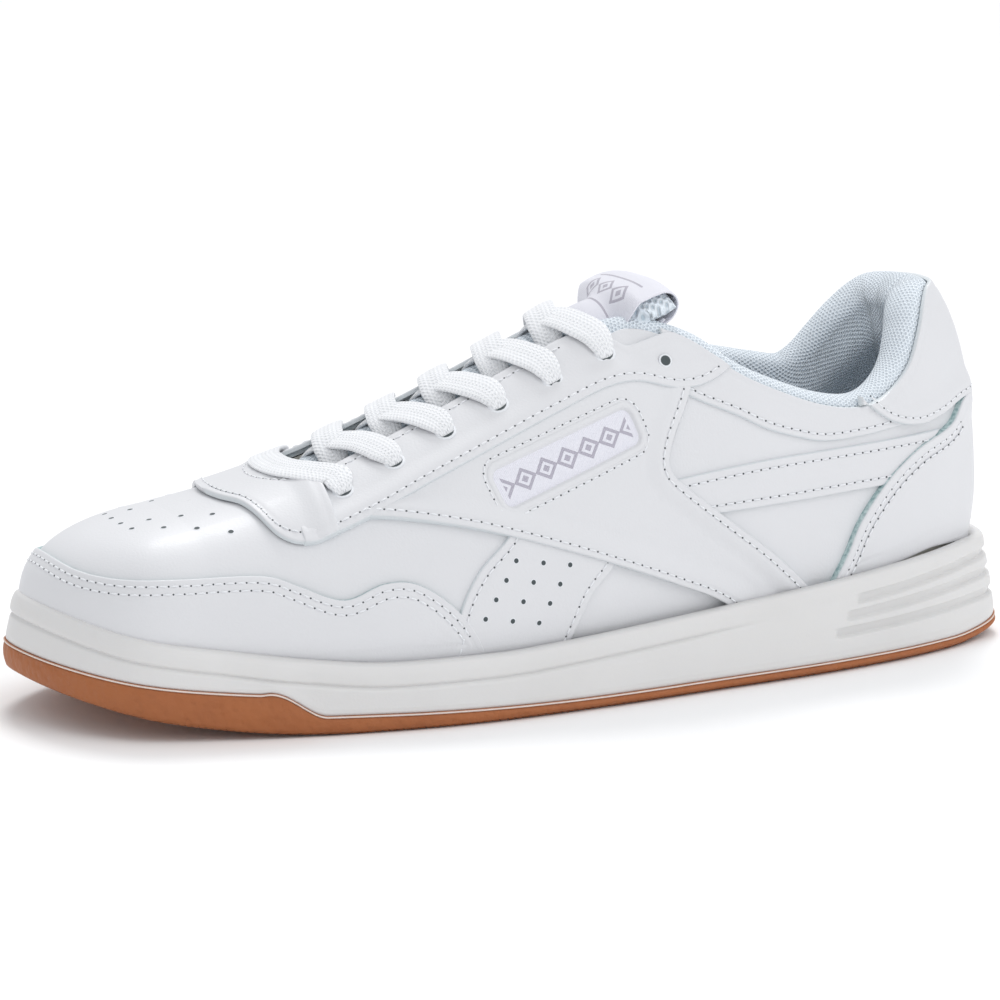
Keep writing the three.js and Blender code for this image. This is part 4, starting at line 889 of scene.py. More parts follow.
def on_top(x, v):
    """The share and the angle of the form's point at x, off the crest by v (outer side negative)."""
    x, v = np.broadcast_arrays(np.asarray(x, float), np.asarray(v, float))
    a = np.where(v < 0, share_at(x, -1), share_at(x, 1))
    return a, turn_off_crest(a, np.abs(v))


def top_form(x, v):
    return form(*on_top(x, v))


def top_outward(x, v):
    return outward(*on_top(x, v))


def plan_of(x, z, side):
    """Distance off the crest of the point of the form at that x and height."""
    a = share_at(np.asarray(x, float), side)
    return form(a, turn_at_height(a, np.asarray(z, float)))[..., 1] - spine(np.asarray(x, float))[1]


front_x, front_v = np.array([-90.2, -92.6, -93.4, -92.6, -90.2]), np.array([-16.5, -9.0, 0.0, 9.0, 16.5])
foot_x = np.array([-70.0, -74.5, -79.0, -83.2, -86.6])
foot_z = np.array([51.6, 50.0, 49.3, 49.8, 51.9])
bridge_out = catmull(np.concatenate([
    np.stack([foot_x, plan_of(foot_x, foot_z, -1)], -1), np.stack([front_x, front_v], -1),
    np.stack([foot_x, plan_of(foot_x, foot_z - 0.8, 1)], -1)[::-1]]), 12)
throat_front = np.stack([[-68, -70, -73, -75.5, -77.2, -77.8], [-14.7, -14.3, -12.6, -9.6, -5, 0]], -1)
bridge_in = catmull(np.concatenate([throat_front, throat_front[-2::-1] * [1, -1]]), 12)
bridge = leather("throat_bridge_leather", bridge_out, bridge_in, lift=0.6, thick=1.3, over=0.9,
                 over_edges=(0, 0, 1, 1),
                 at=top_form, out_of=top_outward)
finished(bridge, "shoe", hide.material, "white_leather", "throat_bridge")
places = np.linspace(0.05, 0.95, 150)
outer_line, inner_line = along_strip(bridge_out, places, top_form), along_strip(bridge_in, places, top_form)
wide = np.linalg.norm(top_form(*outer_line.T) - top_form(*inner_line.T), axis=1)[:, None]
for distance in (2.4, wide - 3.4):
    sew(outer_line + (inner_line - outer_line) * distance / wide, 1.85, at=top_form, out_of=top_outward)


# ---- Window label
# A woven satin label behind the window, with a row of lozenges, and the rolled rim sewn round it.
def window_ring(grow, count=240):
    """The window's rounded outline, grown outwards: side-view points, evenly turned."""
    turn = np.linspace(0, 2 * np.pi, count, endpoint=False)
    corner = window_corner + grow
    straight = window_half - window_corner
    c, s = np.cos(turn), np.sin(turn)
    u, w = straight[0] * np.sign(c) * np.clip(np.abs(c) * 6, 0,
                                              1) + corner * c, straight[1] * np.sign(s) * np.clip(
        np.abs(s) * 6, 0, 1) + corner * s
    line = np.stack([u, w], -1)
    gone = np.concatenate([[0], np.cumsum(np.linalg.norm(np.diff(np.concatenate([line, line[:1]]), axis=0),
                                                         axis=1))])
    even = np.linspace(0, gone[-1], count, endpoint=False)
    line = np.concatenate([line, line[:1]])
    u, w = np.interp(even, gone, line[:, 0]), np.interp(even, gone, line[:, 1])
    c, s = np.cos(window_tilt), np.sin(window_tilt)
    x, z = u * c - w * s - 3.5, u * s + w * c + 67.8
    a = share_at(x, -1)
    return np.stack([a, turn_at_height(a, z)], -1)


rim_steps = [(-0.9, 0.25), (-0.55, 0.3), (-0.25, 0.75), (0.0, 1.2), (0.35, 1.45), (0.8, 1.5), (1.25, 1.38),
             (1.6, 1.15)]
rim_rows = np.array([skin(*window_ring(grow).T, height) for grow,
                     height in rim_steps + [(1.6, 0.6), (-0.9, 0.15)]])
window_rim = body_mesh("window_rim", rim_rows.reshape(-1, 3),
                       grid_faces(len(rim_rows), 240, wrap_rows=True, wrap_columns=True),
                       {"cut": np.full(rim_rows.shape[0] * 240, 2.0)})
finished(window_rim, "shoe", hide.material, "white_leather")
loop = window_ring(2.3)
sew(np.concatenate([loop, loop[:2]]), 1.24, pitch=2.6)

label_u, label_w = np.meshgrid(np.linspace(-23.5, 23.5, 120), np.linspace(-6, 6, 34))
c, s = np.cos(window_tilt), np.sin(window_tilt)
label_x, label_z = label_u * c - label_w * s - 3.5, label_u * s + label_w * c + 67.8
label_a = share_at(label_x, -1)
label_turn = turn_at_height(label_a, label_z)
bulge = 0.35 + 0.12 * np.cos(label_w / 6 * np.pi / 2)
label_face = skin(label_a, label_turn, bulge)
label_back = skin(label_a, label_turn, np.full_like(label_a, 0.12))


def shell(name, face, back, kept=None):
    """A thin closed piece from two grids of points, face and back, joined round their edges."""
    rows, cols = face.shape[:2]
    faces = sheet_faces(rows, cols)
    turn = np.cross(np.roll(face, -1, 1) - face, np.roll(face, -1, 0) - face)[:-1, :-1]
    if (turn * (face - back)[:-1, :-1]).sum() < 0:
        faces = faces[:, ::-1]
    points = np.concatenate([face.reshape(-1, 3), back.reshape(-1, 3)])
    twice = {key: np.concatenate([v.reshape(rows * cols, -1)] * 2).squeeze() for key,
             v in (kept or {}).items()}
    return body_mesh(name, points, faces, twice)


weave = np.stack([label_u, label_w, np.zeros_like(label_u)], -1)
window_label = shell("window_label_cloth", label_face, label_back, {"weave": weave})


def satin(name, motif):
    """Woven satin: fine weft ribs under a raised embroidered figure, where motif is 1."""
    made = Finish(name, roughness=0.45, sheen_weight=0.25)
    u, w, _ = made.parts(made.kept("weave", "Vector"))
    figure = motif(u, w)
    ribs = u.wave(0.5) * 0.3 + w.wave(0.32) * 0.2
    threads = (u + w).wave(0.7) * 0.4
    colour = made.blend(figure, (0.79, 0.79, 0.86), (0.47, 0.45, 0.53))
    made.wear(colour=colour, roughness=0.5 - figure * 0.12, height=ribs + figure * (2.2 + threads),
              depth=0.00012)
    return made.material


def lozenges(u, w):
    """A row of hollow lozenges, 7 mm apart, with a small solid one in each, cut off at the ends of the row.
    """
    across = u.math("PINGPONG", u + 101.5, 3.5)
    reach = (3.5 - across) * 0.85 + w.math("ABSOLUTE", w)
    hollow = (reach < 3.1) * (reach > 2.0) + (reach < 1.0)
    return hollow * (w.math("ABSOLUTE", w) < 3.2) * (u.math("ABSOLUTE", u) < 20.8)


label_cloth = satin("woven_label", lozenges)
finished(window_label, "shoe", label_cloth, "woven_label", "window_label")


# ---- Vents and punched holes
# Small round holes punched through the leather: a bore whose dark floor is painted shade, with a soft rim
# pressed in round it.
def punched(name, places, radius, at, out_of, height):
    """A dish at each place: a ring that rises from the leather, then a floor painted dark as the hole's
    shade, all in one mesh.
    """
    p, n = at(*places.T), out_of(*places.T)
    side_way = unit(np.cross(n, [0.0, 1.0, 0.0]))
    other = np.cross(n, side_way)
    turn = np.linspace(0, 2 * np.pi, 14, endpoint=False)
    rings = [(0.0, 0.03, 0.0), (0.72, 0.03, 0.0), (0.98, 0.06, 0.35), (1.12, 0.10, 1.0), (1.32, 0.03, 1.0),
             (1.36, -0.2, 1.0),
             (0.0, -0.25, 1.0)]
    rows = np.array([[r * np.cos(turn), r * np.sin(turn), np.full(14, h / radius)] for r, h,
                     _ in rings]) * radius
    points = (p[:, None, None] + side_way[:, None, None] * rows[None, :, 0, :, None]
              + other[:, None, None] * rows[None, :, 1, :, None]
              + n[:, None, None] * (rows[None, :, 2, :, None] + height))
    one = grid_faces(len(rings), 14, wrap_columns=True)
    faces = (one[None] + np.arange(len(p))[:, None, None] * len(rings) * 14).reshape(-1, 4)
    # shade is the hole's painted shade: 0 on the floor, which is painted near-black, and 1 on the rim and the
    # leather.
    shade = np.tile(np.repeat([r[2] for r in rings], 14), len(p))
    return body_mesh(name, points.reshape(-1, 3), faces, {"cut": shade})


pit = Finish("punched_leather", roughness=0.5)
where = pit.place()
# Painted shade: each hole's floor is near-black; the rim and the leather round it keep the leather's own
# colour.
pit.wear(colour=pit.blend(pit.kept("cut").ramp(0.2, 0.8), (0.05, 0.065, 0.07), (0.77, 0.79, 0.82)),
         roughness=0.5 + pit.noise(where, 900) * 0.2, height=pit.noise(where, 1500), depth=0.00004)
vents = np.array([[x, side * v] for side in (-1, 1) for x, v in
                  [(-119, 11), (-112, 17), (-104.5, 22.5), (-97, 28.5),
                   (-119.6, 3.8), (-112.8, 7.6), (-105, 11.6), (-98, 17.2)]])
vent_y = vents[:, 1] + 8.2


def plan_spot(x, y):
    """Place on the form of a point of the toe seen from above, by repeated correction."""
    a = np.where(y < 8.5, share_at(np.clip(x, -140, 140), -1), share_at(np.clip(x, -140, 140), 1))
    t = np.full_like(a, 1.2)
    for _ in range(30):
        p = form(a, t)
        along, up = slopes(a, t)
        ex, ey = x - p[:, 0], y - p[:, 1]
        fixed = along[:, 0] * up[:, 1] - along[:, 1] * up[:, 0]
        fixed = np.where(np.abs(fixed) < 1e-3, 1e-3, fixed)
        a = a + 0.6 * (ex * up[:, 1] - ey * up[:, 0]) / fixed
        t = np.clip(t + 0.6 * (ey * along[:, 0] - ex * along[:, 1]) / fixed, 0.2, 1.56)
    return np.stack([a, t], -1)


vent_holes = punched("vents", plan_spot(vents[:, 0], vent_y), 0.78, form, outward, 0.0)
finished(vent_holes, "shoe", pit.material, "white_leather")
strap_rows = []
for side in sides.values():
    for k in range(4):
        for j in range(3):
            strap_rows.append([side, -27.5 + 8.2 * j - 3.4 * (3 - k) + 4.6, 27.5 + 4.9 * k - 1.3 * j])
strap_rows = np.array(strap_rows)
strap_a = np.where(strap_rows[:, 0] < 0, share_at(strap_rows[:, 1], -1), share_at(strap_rows[:, 1], 1))
strap_holes = punched("strap_holes", np.stack([strap_a, turn_at_height(strap_a, strap_rows[:, 2])], -1),
                      0.7, form, outward, 1.25)
finished(strap_holes, "shoe", pit.material, "white_leather")
lace_rows = np.array([-65, -49.5, -34, -18.5, -2.5, 13.5])


def eyelet_line(x):
    """Distance of the eyelets from the crest: the two rows spread towards the toe."""
    return smooth(x, [[lace_rows[0], 26.6], [lace_rows[1], 24.2], [lace_rows[2], 22.2], [lace_rows[3], 21.3],
                      [lace_rows[-1], 20.8]])


eyelets = np.array([[x, side * eyelet_line(x)] for side in sides.values() for x in lace_rows])
free_eyelets = np.array([[30.0, side * 25.0] for side in sides.values()])
eyelet_holes = punched("eyelet_holes", eyelets, 2.3, top_form, top_outward, 1.27)
finished(eyelet_holes, "shoe", pit.material, "white_leather")
free_holes = punched("free_eyelet_holes", free_eyelets, 1.5, top_form, top_outward, 1.8)
finished(free_holes, "shoe", pit.material, "white_leather")


# ---- Collar
# A padded roll of spacer mesh round the opening. It is sewn under the edge of the leather, turns over a
# foam filling, and runs down inside as the lining of the back of the shoe.
roll_x = np.linspace(10.5, 100, 200)
roll_a = np.concatenate([share_at(roll_x, -1), np.linspace(share_at(heel_x, -1), 0, 90)[1:],
                         np.linspace(0, share_at(heel_x, 1) - 1, 90)[1:], share_at(roll_x[::-1], 1)[1:] - 1])
roll_side = np.where(np.arange(len(roll_a)) < 289, -1, 1)
roll_turn = np.where(roll_side < 0, turn_at_line(roll_a, collar_lines["outer"]),
                     turn_at_line(roll_a, collar_lines["inner"]))
edge_p, edge_n = form(roll_a, roll_turn), outward(roll_a, roll_turn)
edge_way = unit(np.gradient(edge_p, axis=0))
edge_up = unit(np.cross(edge_way, edge_n))
edge_up *= np.sign((edge_up * slopes(roll_a, roll_turn)[1]).sum(-1))[:, None]
padding = step(edge_p[:, 0], 20, 75)
heel_pad = step(edge_p[:, 0], 95, 128)
thickness = 4.4 + 4.6 * padding + 4.2 * heel_pad
rise = 3.4 + 0.6 * padding
turn = np.linspace(0, np.pi, 15)[:, None]
across_b = np.concatenate([[[-6.0], [-3.0], [-1.0]], np.sin(turn)**0.85]) * np.concatenate(
    [np.ones((3, len(roll_a))), np.tile(rise, (15, 1))])
across_n = np.concatenate([np.tile([[-1.45], [-1.3], [-0.75]], (1, len(roll_a))),
                           -0.45 - thickness / 2 * (1 - np.cos(turn))])
roll_rows = edge_p + edge_up * across_b[..., None] + edge_n * across_n[..., None]
down = (1 - np.linspace(0, 1, 34)[1:, None]**0.9 * 0.93)
inside_turn = roll_turn * down
inside_ground = form(roll_a, inside_turn)
depth = np.cumsum(np.linalg.norm(np.diff(np.concatenate([edge_p[None], inside_ground]), axis=0), axis=-1),
                  axis=0)
bulge = (0.9 * padding + 1.6 * heel_pad) * np.sin(np.pi * np.clip(depth / 30, 0, 1))**2
inside_n = -(3.3 + (thickness - 2.85) * (1 - step(depth, 10, 42)) + bulge)
inside_rows = inside_ground + outward(roll_a, inside_turn) * inside_n[..., None]
back_rows = np.stack([skin(roll_a, inside_turn[-1], -2.75), skin(roll_a, inside_turn[16], -2.75),
                      skin(roll_a, inside_turn[5], -2.7)])
collar_rows = np.concatenate([roll_rows, inside_rows, back_rows])
around = np.concatenate([[0], np.cumsum(np.linalg.norm(np.diff(edge_p, axis=0), axis=1))])
over = np.concatenate([np.zeros((1, len(roll_a))),
                       np.cumsum(np.linalg.norm(np.diff(collar_rows, axis=0), axis=-1), axis=0)])
pucker = 0.10 * np.sin(around / 5.2) * np.exp(-((over[:18] - 9) / 3.5)**2)
collar_rows[:18] += edge_n * pucker[..., None]
cols = len(roll_a)
collar_faces = grid_faces(len(collar_rows), cols, wrap_rows=True)
ends = np.arange(len(collar_rows)) * cols
half_way = len(ends) // 2
cap = np.array([[ends[k], ends[k + 1], ends[-2 - k], ends[-1 - k]] for k in range(half_way - 1)])
collar_faces = np.concatenate([collar_faces, cap, (cap + cols - 1)[:, ::-1]])
collar_weave = np.stack([np.broadcast_to(around, over.shape), over, over * 0], -1)
collar = body_mesh("collar_roll", collar_rows.reshape(-1, 3), collar_faces,
                   {"weave": collar_weave.reshape(-1, 3)})


def recalculated(piece):
    """Turns all faces of a closed piece outwards."""
    work = bmesh.new()
    work.from_mesh(piece.data)
    bmesh.ops.recalc_face_normals(work, faces=work.faces)
    work.to_mesh(piece.data)
    work.free()
    return piece


def honeycomb(u, w, pitch):
    """A relief with a peak at each point of a three-cornered lattice: the sum of three waves."""
    return u.wave(pitch) + (u * 0.5 + w * 0.866).wave(pitch) + (u * 0.5 - w * 0.866).wave(pitch)


lining = Finish("spacer_mesh", roughness=0.85, sheen_weight=0.35)
u, w, _ = lining.parts(lining.kept("weave", "Vector"))
knit = honeycomb(u, w, 1.05)
# dots: the mesh's pores, sunk by the relief and painted darker, painted shade.
dots = knit.ramp(1.0, 2.4)
fuzz = lining.noise(lining.place(), 1200, 2)
lining.wear(colour=lining.blend(dots * 0.7, lining.blend(fuzz, (0.80, 0.88, 0.96), (0.88, 0.94, 0.99)),
                                (0.66, 0.76, 0.86)),
            roughness=0.8 + fuzz * 0.15, height=knit * -0.35 + fuzz * 0.5, depth=0.00035)
recalculated(collar)
finished(collar, "shoe", lining.material, "lining_mesh", "collar_lining", "collar_foam")


# ---- Tongue
# A pad of foam in coarse mesh, 9.4 mm thick, held under the lacing panels. Its free end rises out of
# the throat.
def tongue_at(x, v):
    """The tongue's face: under the lacing panels it follows the form at a depth, crowned between them; its
    free end is an arch across the shoe."""
    x, v = np.broadcast_arrays(np.asarray(x, float), np.asarray(v, float))
    crown = smooth(x, [[-80, 3], [-66, 6], [8, 6], [19, 5.6]]) * np.maximum(0, 1 - (v / 17)**2)
    a, t = on_top(x, v)
    low_part = skin(a, t, -6.8 + crown)
    free = step(x, 19, 26)[..., None]
    lift = smooth(x, [[19, 0.2], [30, 0], [36, -0.6]])
    drop = smooth(x, [[19, 6], [26, 3], [36, 2.4]]) * np.abs(v / 20)**2.6
    high_part = np.stack([x, spine(x)[1] + v, smooth(x, crest_knots) + lift - drop], -1)
    return low_part * (1 - free) + high_part * free


def tongue_point(x, v, depth):
    """A point under the tongue's face, along its own normal."""
    x, v = np.broadcast_arrays(np.asarray(x, float), np.asarray(v, float))
    n = unit(np.cross(tongue_at(x + 0.6, v) - tongue_at(x - 0.6, v),
                      tongue_at(x, v + 0.6) - tongue_at(x, v - 0.6)))
    return tongue_at(x, v) - n * np.asarray(depth)[..., None]


tongue_half = [[-88, 16], [-60, 20], [-10, 23], [6, 20], [14, 15], [19, 16.5], [25, 20], [36, 21.5]]
tongue_thick = 9.4
tongue_x = np.concatenate([np.linspace(-88, 29.5, 130),
                           31.5 + 4 * np.sin(np.linspace(-0.4, np.pi / 2, 14))])[:, None]
tongue_v = np.sin(np.linspace(-np.pi / 2, np.pi / 2, 61))[None, :]
half_here = smooth(tongue_x, tongue_half)
side_round = 1 - np.sqrt(np.clip(1 - np.abs(tongue_v)**5, 0, 1))
end_round = 1 - np.sqrt(np.clip(1 - np.clip((tongue_x - 31.5) / 4, 0, 1)**2, 0, 1))
depth_in = tongue_thick / 2 * (1 - (1 - side_round) * (1 - end_round))
puff = 0.35 * np.cos((tongue_x + 57) / 15.6 * 2 * np.pi) * (tongue_x < 16) * (1 - tongue_v**2)
spread_v = tongue_v * half_here
tongue_face = tongue_point(tongue_x + 0 * spread_v, spread_v, depth_in + puff)
tongue_back = tongue_point(tongue_x + 0 * spread_v, spread_v, tongue_thick - depth_in + 0.001)
tongue_weave = np.stack([tongue_x + 0 * spread_v, spread_v, np.zeros_like(spread_v)], -1)
tongue = shell("tongue_pad", tongue_face, tongue_back, {"weave": tongue_weave})
air_mesh = Finish("air_mesh", roughness=0.85, sheen_weight=0.3)
u, w, _ = air_mesh.parts(air_mesh.kept("weave", "Vector"))
knit = honeycomb(u, w, 1.5)
# pores: the mesh's open pores, sunk by the relief and painted darker, painted shade.
pores = knit.ramp(0.9, 2.3)
fuzz = air_mesh.noise(air_mesh.place(), 1400, 2)
cloth = air_mesh.blend(fuzz, (0.74, 0.82, 0.90), (0.84, 0.90, 0.95))
air_mesh.wear(colour=air_mesh.blend(pores * 0.8, cloth, (0.46, 0.56, 0.64)),
              roughness=0.8 + fuzz * 0.15, height=knit * -0.5 + fuzz * 0.3, depth=0.0004)
finished(tongue, None, air_mesh.material, "tongue_mesh", "tongue_face", "tongue_foam", "tongue_lining",
         "tongue_top_face",
         "tongue_top_foam", "tongue_top_lining")
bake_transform(tongue)


# ---- Tongue label
# A satin label with two woven bars and three lozenges. It is sewn to the tongue's face, and wraps over
# its end.
face_x = np.linspace(12.0, 31.5, 60)
wrap = np.linspace(0, np.pi, 22)[1:]
label_share = np.sin(np.linspace(-np.pi / 2, np.pi / 2, 51))[None, :]
label_half = np.minimum(smooth(face_x, tongue_half) - 1.0, 20.0)[:, None]
front_part = tongue_point(face_x[:, None] + 0 * label_share, label_share * label_half,
                          np.full((60, 51), -0.55))
end_v = label_share * label_half[-1:]
core_p = tongue_point(31.5 + 0 * end_v, end_v, np.full((1, 51), tongue_thick / 2))
top_p = tongue_point(31.5 + 0 * end_v, end_v, np.full((1, 51), 0.0))
normal_p = unit(top_p - core_p)
way_p = unit(tongue_at(32.1 + 0 * end_v, end_v) - tongue_at(30.9 + 0 * end_v, end_v))
ring_r = tongue_thick / 2 + 0.55
wrap_part = core_p + ring_r * (normal_p * np.cos(wrap)[:, None, None] + way_p * np.sin(wrap)[:, None,
                                                                                             None] * 1.08)
tail_x = np.linspace(31.5, 25, 10)[1:]
tail_part = tongue_point(tail_x[:, None] + 0 * label_share, label_share * label_half[-1:] * 0.96,
                         np.full((9, 51), tongue_thick + 0.55))
label_rows = np.concatenate([front_part, wrap_part, tail_part])
label_n = unit(np.cross(np.gradient(label_rows, axis=0), np.gradient(label_rows, axis=1)))
if (label_n[2, 25] * normal_p[0, 25]).sum() < 0:
    label_n = -label_n
ripple = np.sin(np.arange(len(label_rows)) / 5.0)[:, None, None]
label_rows += label_n * (0.25 * ripple * (1 - label_share**2)[..., None] * 0.6)
label_s = np.concatenate([[0], np.cumsum(np.linalg.norm(np.diff(label_rows[:, 25], axis=0), axis=1))])
label_weave = np.stack([label_share * label_half[-1] + 0 * label_s[:, None],
                        label_s[:, None] + 0 * label_share,
                        0 * label_s[:, None] + 0 * label_share], -1)
tongue_label = shell("tongue_label_cloth", label_rows, label_rows - label_n * 0.45, {"weave": label_weave})


def banner(u, w):
    """Three lozenges in a row, 9 mm apart, between two thin bars."""
    across = (u + 94.5).math("PINGPONG", u + 94.5, 4.5)
    height = (w - 13.5).math("ABSOLUTE", w - 13.5)
    reach = (4.5 - across) * 0.8 + height
    lozenge = ((reach < 3.4) * (reach > 2.3) + (reach < 1.1)) * (u.math("ABSOLUTE",
                                                                        u) < 13.4) * (height < 3.6)
    bars = (height > 5.2) * (height < 5.9) * (u.math("ABSOLUTE", u) < 13.4)
    return lozenge + bars


finished(tongue_label, None, satin("tongue_label_satin", banner), "woven_label", "tongue_label")
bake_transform(tongue_label)


# ---- Lace
# One flat woven cotton lace, 9.4 mm wide: a bar over the lowest eyelets, then crossing to the top, with both
# ends tucked down inside beside the foot. A clear film tip closes each end.
lace_width, lace_thick = 9.4, 1.6


def lace_stop(x, v, height, face, width):
    """Where the lace passes: a point off the form, the way that its face looks, and its width there."""
    p, n = top_form(x, v) + top_outward(x, v) * height, top_outward(x, v)
    side_way = np.array([0.0, np.sign(v) or 1.0, 0.0])
    side_way = unit(side_way - n * (side_way * n).sum())
    return np.concatenate([p, unit(n * face[0] + side_way * face[1]), [width]])


def lace_half(side):
    """The stops of one end of the lace, from the middle of the bar to the last eyelet and down inside."""
    over, under, thin = 2.15, -5.2, 3.6
    stops, s, turn = [], side, 1
    for row, x in enumerate(lace_rows):
        if row:
            start = lace_rows[row - 1]
            lift = 1.7 if (row % 2 == 0) == (side > 0) else 0.0
            for share, v, height, width in [
                    (0.16, -s * 15.5, under + 0.4, 6), (0.26, -s * 9.5, under + 3.4, 7.6),
                    (0.36, -s * 4.5, over - 1.6 + lift * 0.8, 9.4), (0.46, 0, over - 0.3 + lift, 9.4),
                    (0.59, s * 5.5, over + 0.1 + lift * 0.6, 9.4), (0.76, s * 12, over + 0.2, 9.2)]:
                stops.append(lace_stop(start + (x - start) * share, v, height, (turn, 0), width))
        else:
            start = x
            stops += [lace_stop(x - 9, s * 3, over + 0.2, (turn, 0), 9.4),
                      lace_stop(x - 8, s * 9, over + 0.3, (turn, 0), 9.4),
                      lace_stop(x - 5, s * 15, over + 0.3, (turn, 0), 9.2)]
        hole = eyelet_line(x)
        stops.append(lace_stop(x + (start - x) * 0.08, s * (hole - 4.6), over + 0.2, (turn, 0), 9))
        stops.append(lace_stop(x + (start - x) * 0.02, s * (hole - 1.6), over, (turn, turn * 0.2), 7.2))
        stops.append(lace_stop(x, s * (hole + 0.2), over - 1.0, (turn * 0.5, turn * 0.8), 4.8))
        stops.append(lace_stop(x, s * (hole + 0.1), -1.5, (0, turn), thin))
        stops.append(lace_stop(x, s * (hole - 0.6), under + 0.9, (-turn * 0.7, turn * 0.7), thin))
        if row < len(lace_rows) - 1:
            stops.append(lace_stop(x + 1.5, s * (hole - 3.4), under, (-turn, 0), 4.8))
            s = -s
        turn = -turn
    for dx, v, drop, width in [(-1, 24.5, 0, 4), (-3, 28.5, 1.1, 4), (-5, 31.5, 2.2, 3.2)]:
        stops.append(lace_stop(lace_rows[-1] + dx, s * v, under - drop, (turn, 0), width))
    return np.array(stops)


outer_half, inner_half = lace_half(-1), lace_half(1)
lace_stops = np.concatenate([outer_half[::-1], inner_half])
lace_line = catmull(lace_stops[:, :3], 9)
stop_at = np.arange(len(lace_stops))
fine_at = np.linspace(0, len(lace_stops) - 1, len(lace_line))
faces_at = np.stack([np.interp(fine_at, stop_at, lace_stops[:, k]) for k in range(3, 7)], -1)
lace_way = unit(np.gradient(lace_line, axis=0))
lace_face = faces_at[:, :3] - lace_way * (faces_at[:, :3] * lace_way).sum(-1)[:, None]
lace_face = unit(lace_face)
lace_across = np.cross(lace_way, lace_face)
lace_w = faces_at[:, 3] / 2
lace_gone = np.concatenate([[0], np.cumsum(np.linalg.norm(np.diff(lace_line, axis=0), axis=1))])
ring_turn = np.linspace(0, 2 * np.pi, 28, endpoint=False)
ring_c, ring_s = np.cos(ring_turn), np.sin(ring_turn)
ring_u = np.sign(ring_c) * np.abs(ring_c)**0.55
ring_h = np.sign(ring_s) * np.abs(ring_s)**0.75
squeeze = lace_width / 2 / lace_w
cup_shape = 0.35 * (ring_u**2 - 0.4)
ring_rise = ring_h * lace_thick / 2 * squeeze[:, None]**0.45 + cup_shape * 0.5
lace_ring = (lace_line[:, None] + lace_across[:, None] * (ring_u * lace_w[:, None])[..., None]
             + lace_face[:, None] * ring_rise[..., None])
lace_weave = np.stack([lace_gone[:, None] + 0 * ring_u, ring_u * 4 + 0 * lace_gone[:, None],
                       0 * ring_u + 0 * lace_gone[:, None]], -1)
lace_steps = len(lace_line)
lace_faces = grid_faces(lace_steps, 28, wrap_columns=True)
lace_caps = np.array([[k, k + 1, 26 - k, 27 - k] for k in range(13)])
lace_faces = np.concatenate([lace_faces, lace_caps, (lace_caps + (lace_steps - 1) * 28)[:, ::-1]])
lace = recalculated(body_mesh("cotton_lace", lace_ring.reshape(-1, 3), lace_faces,
                              {"weave": lace_weave.reshape(-1, 3)}))
cotton = Finish("woven_cotton", roughness=0.9, sheen_weight=0.4)
u, w, _ = cotton.parts(cotton.kept("weave", "Vector"))
spread = w.math("ABSOLUTE", w)
ribs = (u + spread * 0.8).wave(1.25) * 0.5 + w.wave(1.0) * 0.45
strands = (u - spread * 0.8).wave(1.25) * w.wave(1.0)
fuzz = cotton.noise(cotton.place(), 1500, 3)
# The weave is painted darker in the hollows between its ribs: painted shade.
cotton.wear(colour=cotton.blend((ribs + strands * 0.4).ramp(-0.9, 0.1), (0.78, 0.80, 0.83),
                                (0.87, 0.88, 0.90)),
            roughness=0.85 + fuzz * 0.1, height=ribs + strands * 0.4 + fuzz * 0.3, depth=0.00013)
finished(lace, "shoe", cotton.material, "lace_cotton", "shoelace")


# ---- Thread and needle holes
# All the stitches gathered so far, as small capsules of thread, and the needle holes between them as small
# dots painted dark, painted shade.
stitches = np.concatenate(stitch_ends)
start, stop, out = stitches[:, 0], stitches[:, 1], stitches[:, 2]
way = unit(stop - start)
out = unit(out - way * (out * way).sum(-1)[:, None])
across = np.cross(way, out)
long = np.linalg.norm(stop - start, axis=1)[:, None, None]
q = np.array([0.12, 0.2, 0.35, 0.5, 0.65, 0.8, 0.88])[None, :, None]
turn = np.linspace(0, 2 * np.pi, 5, endpoint=False)
thin = np.array([0.08, 0.75, 1, 1, 1, 0.75, 0.08])[None, :, None] * 0.27
arch = 0.22 * np.sin(np.pi * (q - 0.12) / 0.76) - 0.10
centre = start[:, None, None] + way[:, None, None] * (q * long)[..., None] + out[:, None, None] * arch[...,
                                                                                                       None]
ring = across[:, None, None] * (thin * np.cos(turn))[..., None] + out[:, None,
                                                                      None] * (thin * np.sin(turn))[..., None]
capsules = centre + ring
one = grid_faces(7, 5, wrap_columns=True)
all_faces = (one[None] + (np.arange(len(capsules)) * 35)[:, None, None]).reshape(-1, 4)
thread = recalculated(body_mesh("thread", capsules.reshape(-1, 3), all_faces))
polyester = Finish("polyester_thread", roughness=0.5, sheen_weight=0.2)
where = polyester.place()
polyester.wear(colour=polyester.blend(polyester.noise(where, 700), (0.74, 0.76, 0.79), (0.86, 0.87, 0.89)),
               roughness=0.45 + polyester.noise(where, 500) * 0.2, height=polyester.noise(where, 3000),
               depth=0.00005)
finished(thread, "shoe", polyester.material, "lace_cotton")

spots = np.concatenate(hole_spots)
p, out = spots[:, 0], unit(spots[:, 1])
side_way = unit(np.cross(out, [0.3, 1.0, 0.2]))
other = np.cross(out, side_way)
turn = np.linspace(0, 2 * np.pi, 7, endpoint=False)
levels = np.array([[0.0, 0.06], [0.27, 0.05], [0.30, -0.06], [0.0, -0.3]])
dots = (p[:, None, None] + side_way[:, None, None] * (levels[:, :1] * np.cos(turn))[None, ..., None]
        + other[:, None, None] * (levels[:, :1] * np.sin(turn))[None, ..., None]
        + out[:, None, None] * levels[None, :, 1:, None])
one = grid_faces(4, 7, wrap_columns=True)
all_faces = (one[None] + (np.arange(len(p)) * 28)[:, None, None]).reshape(-1, 4)
needle_holes = recalculated(body_mesh("needle_holes", dots.reshape(-1, 3), all_faces))
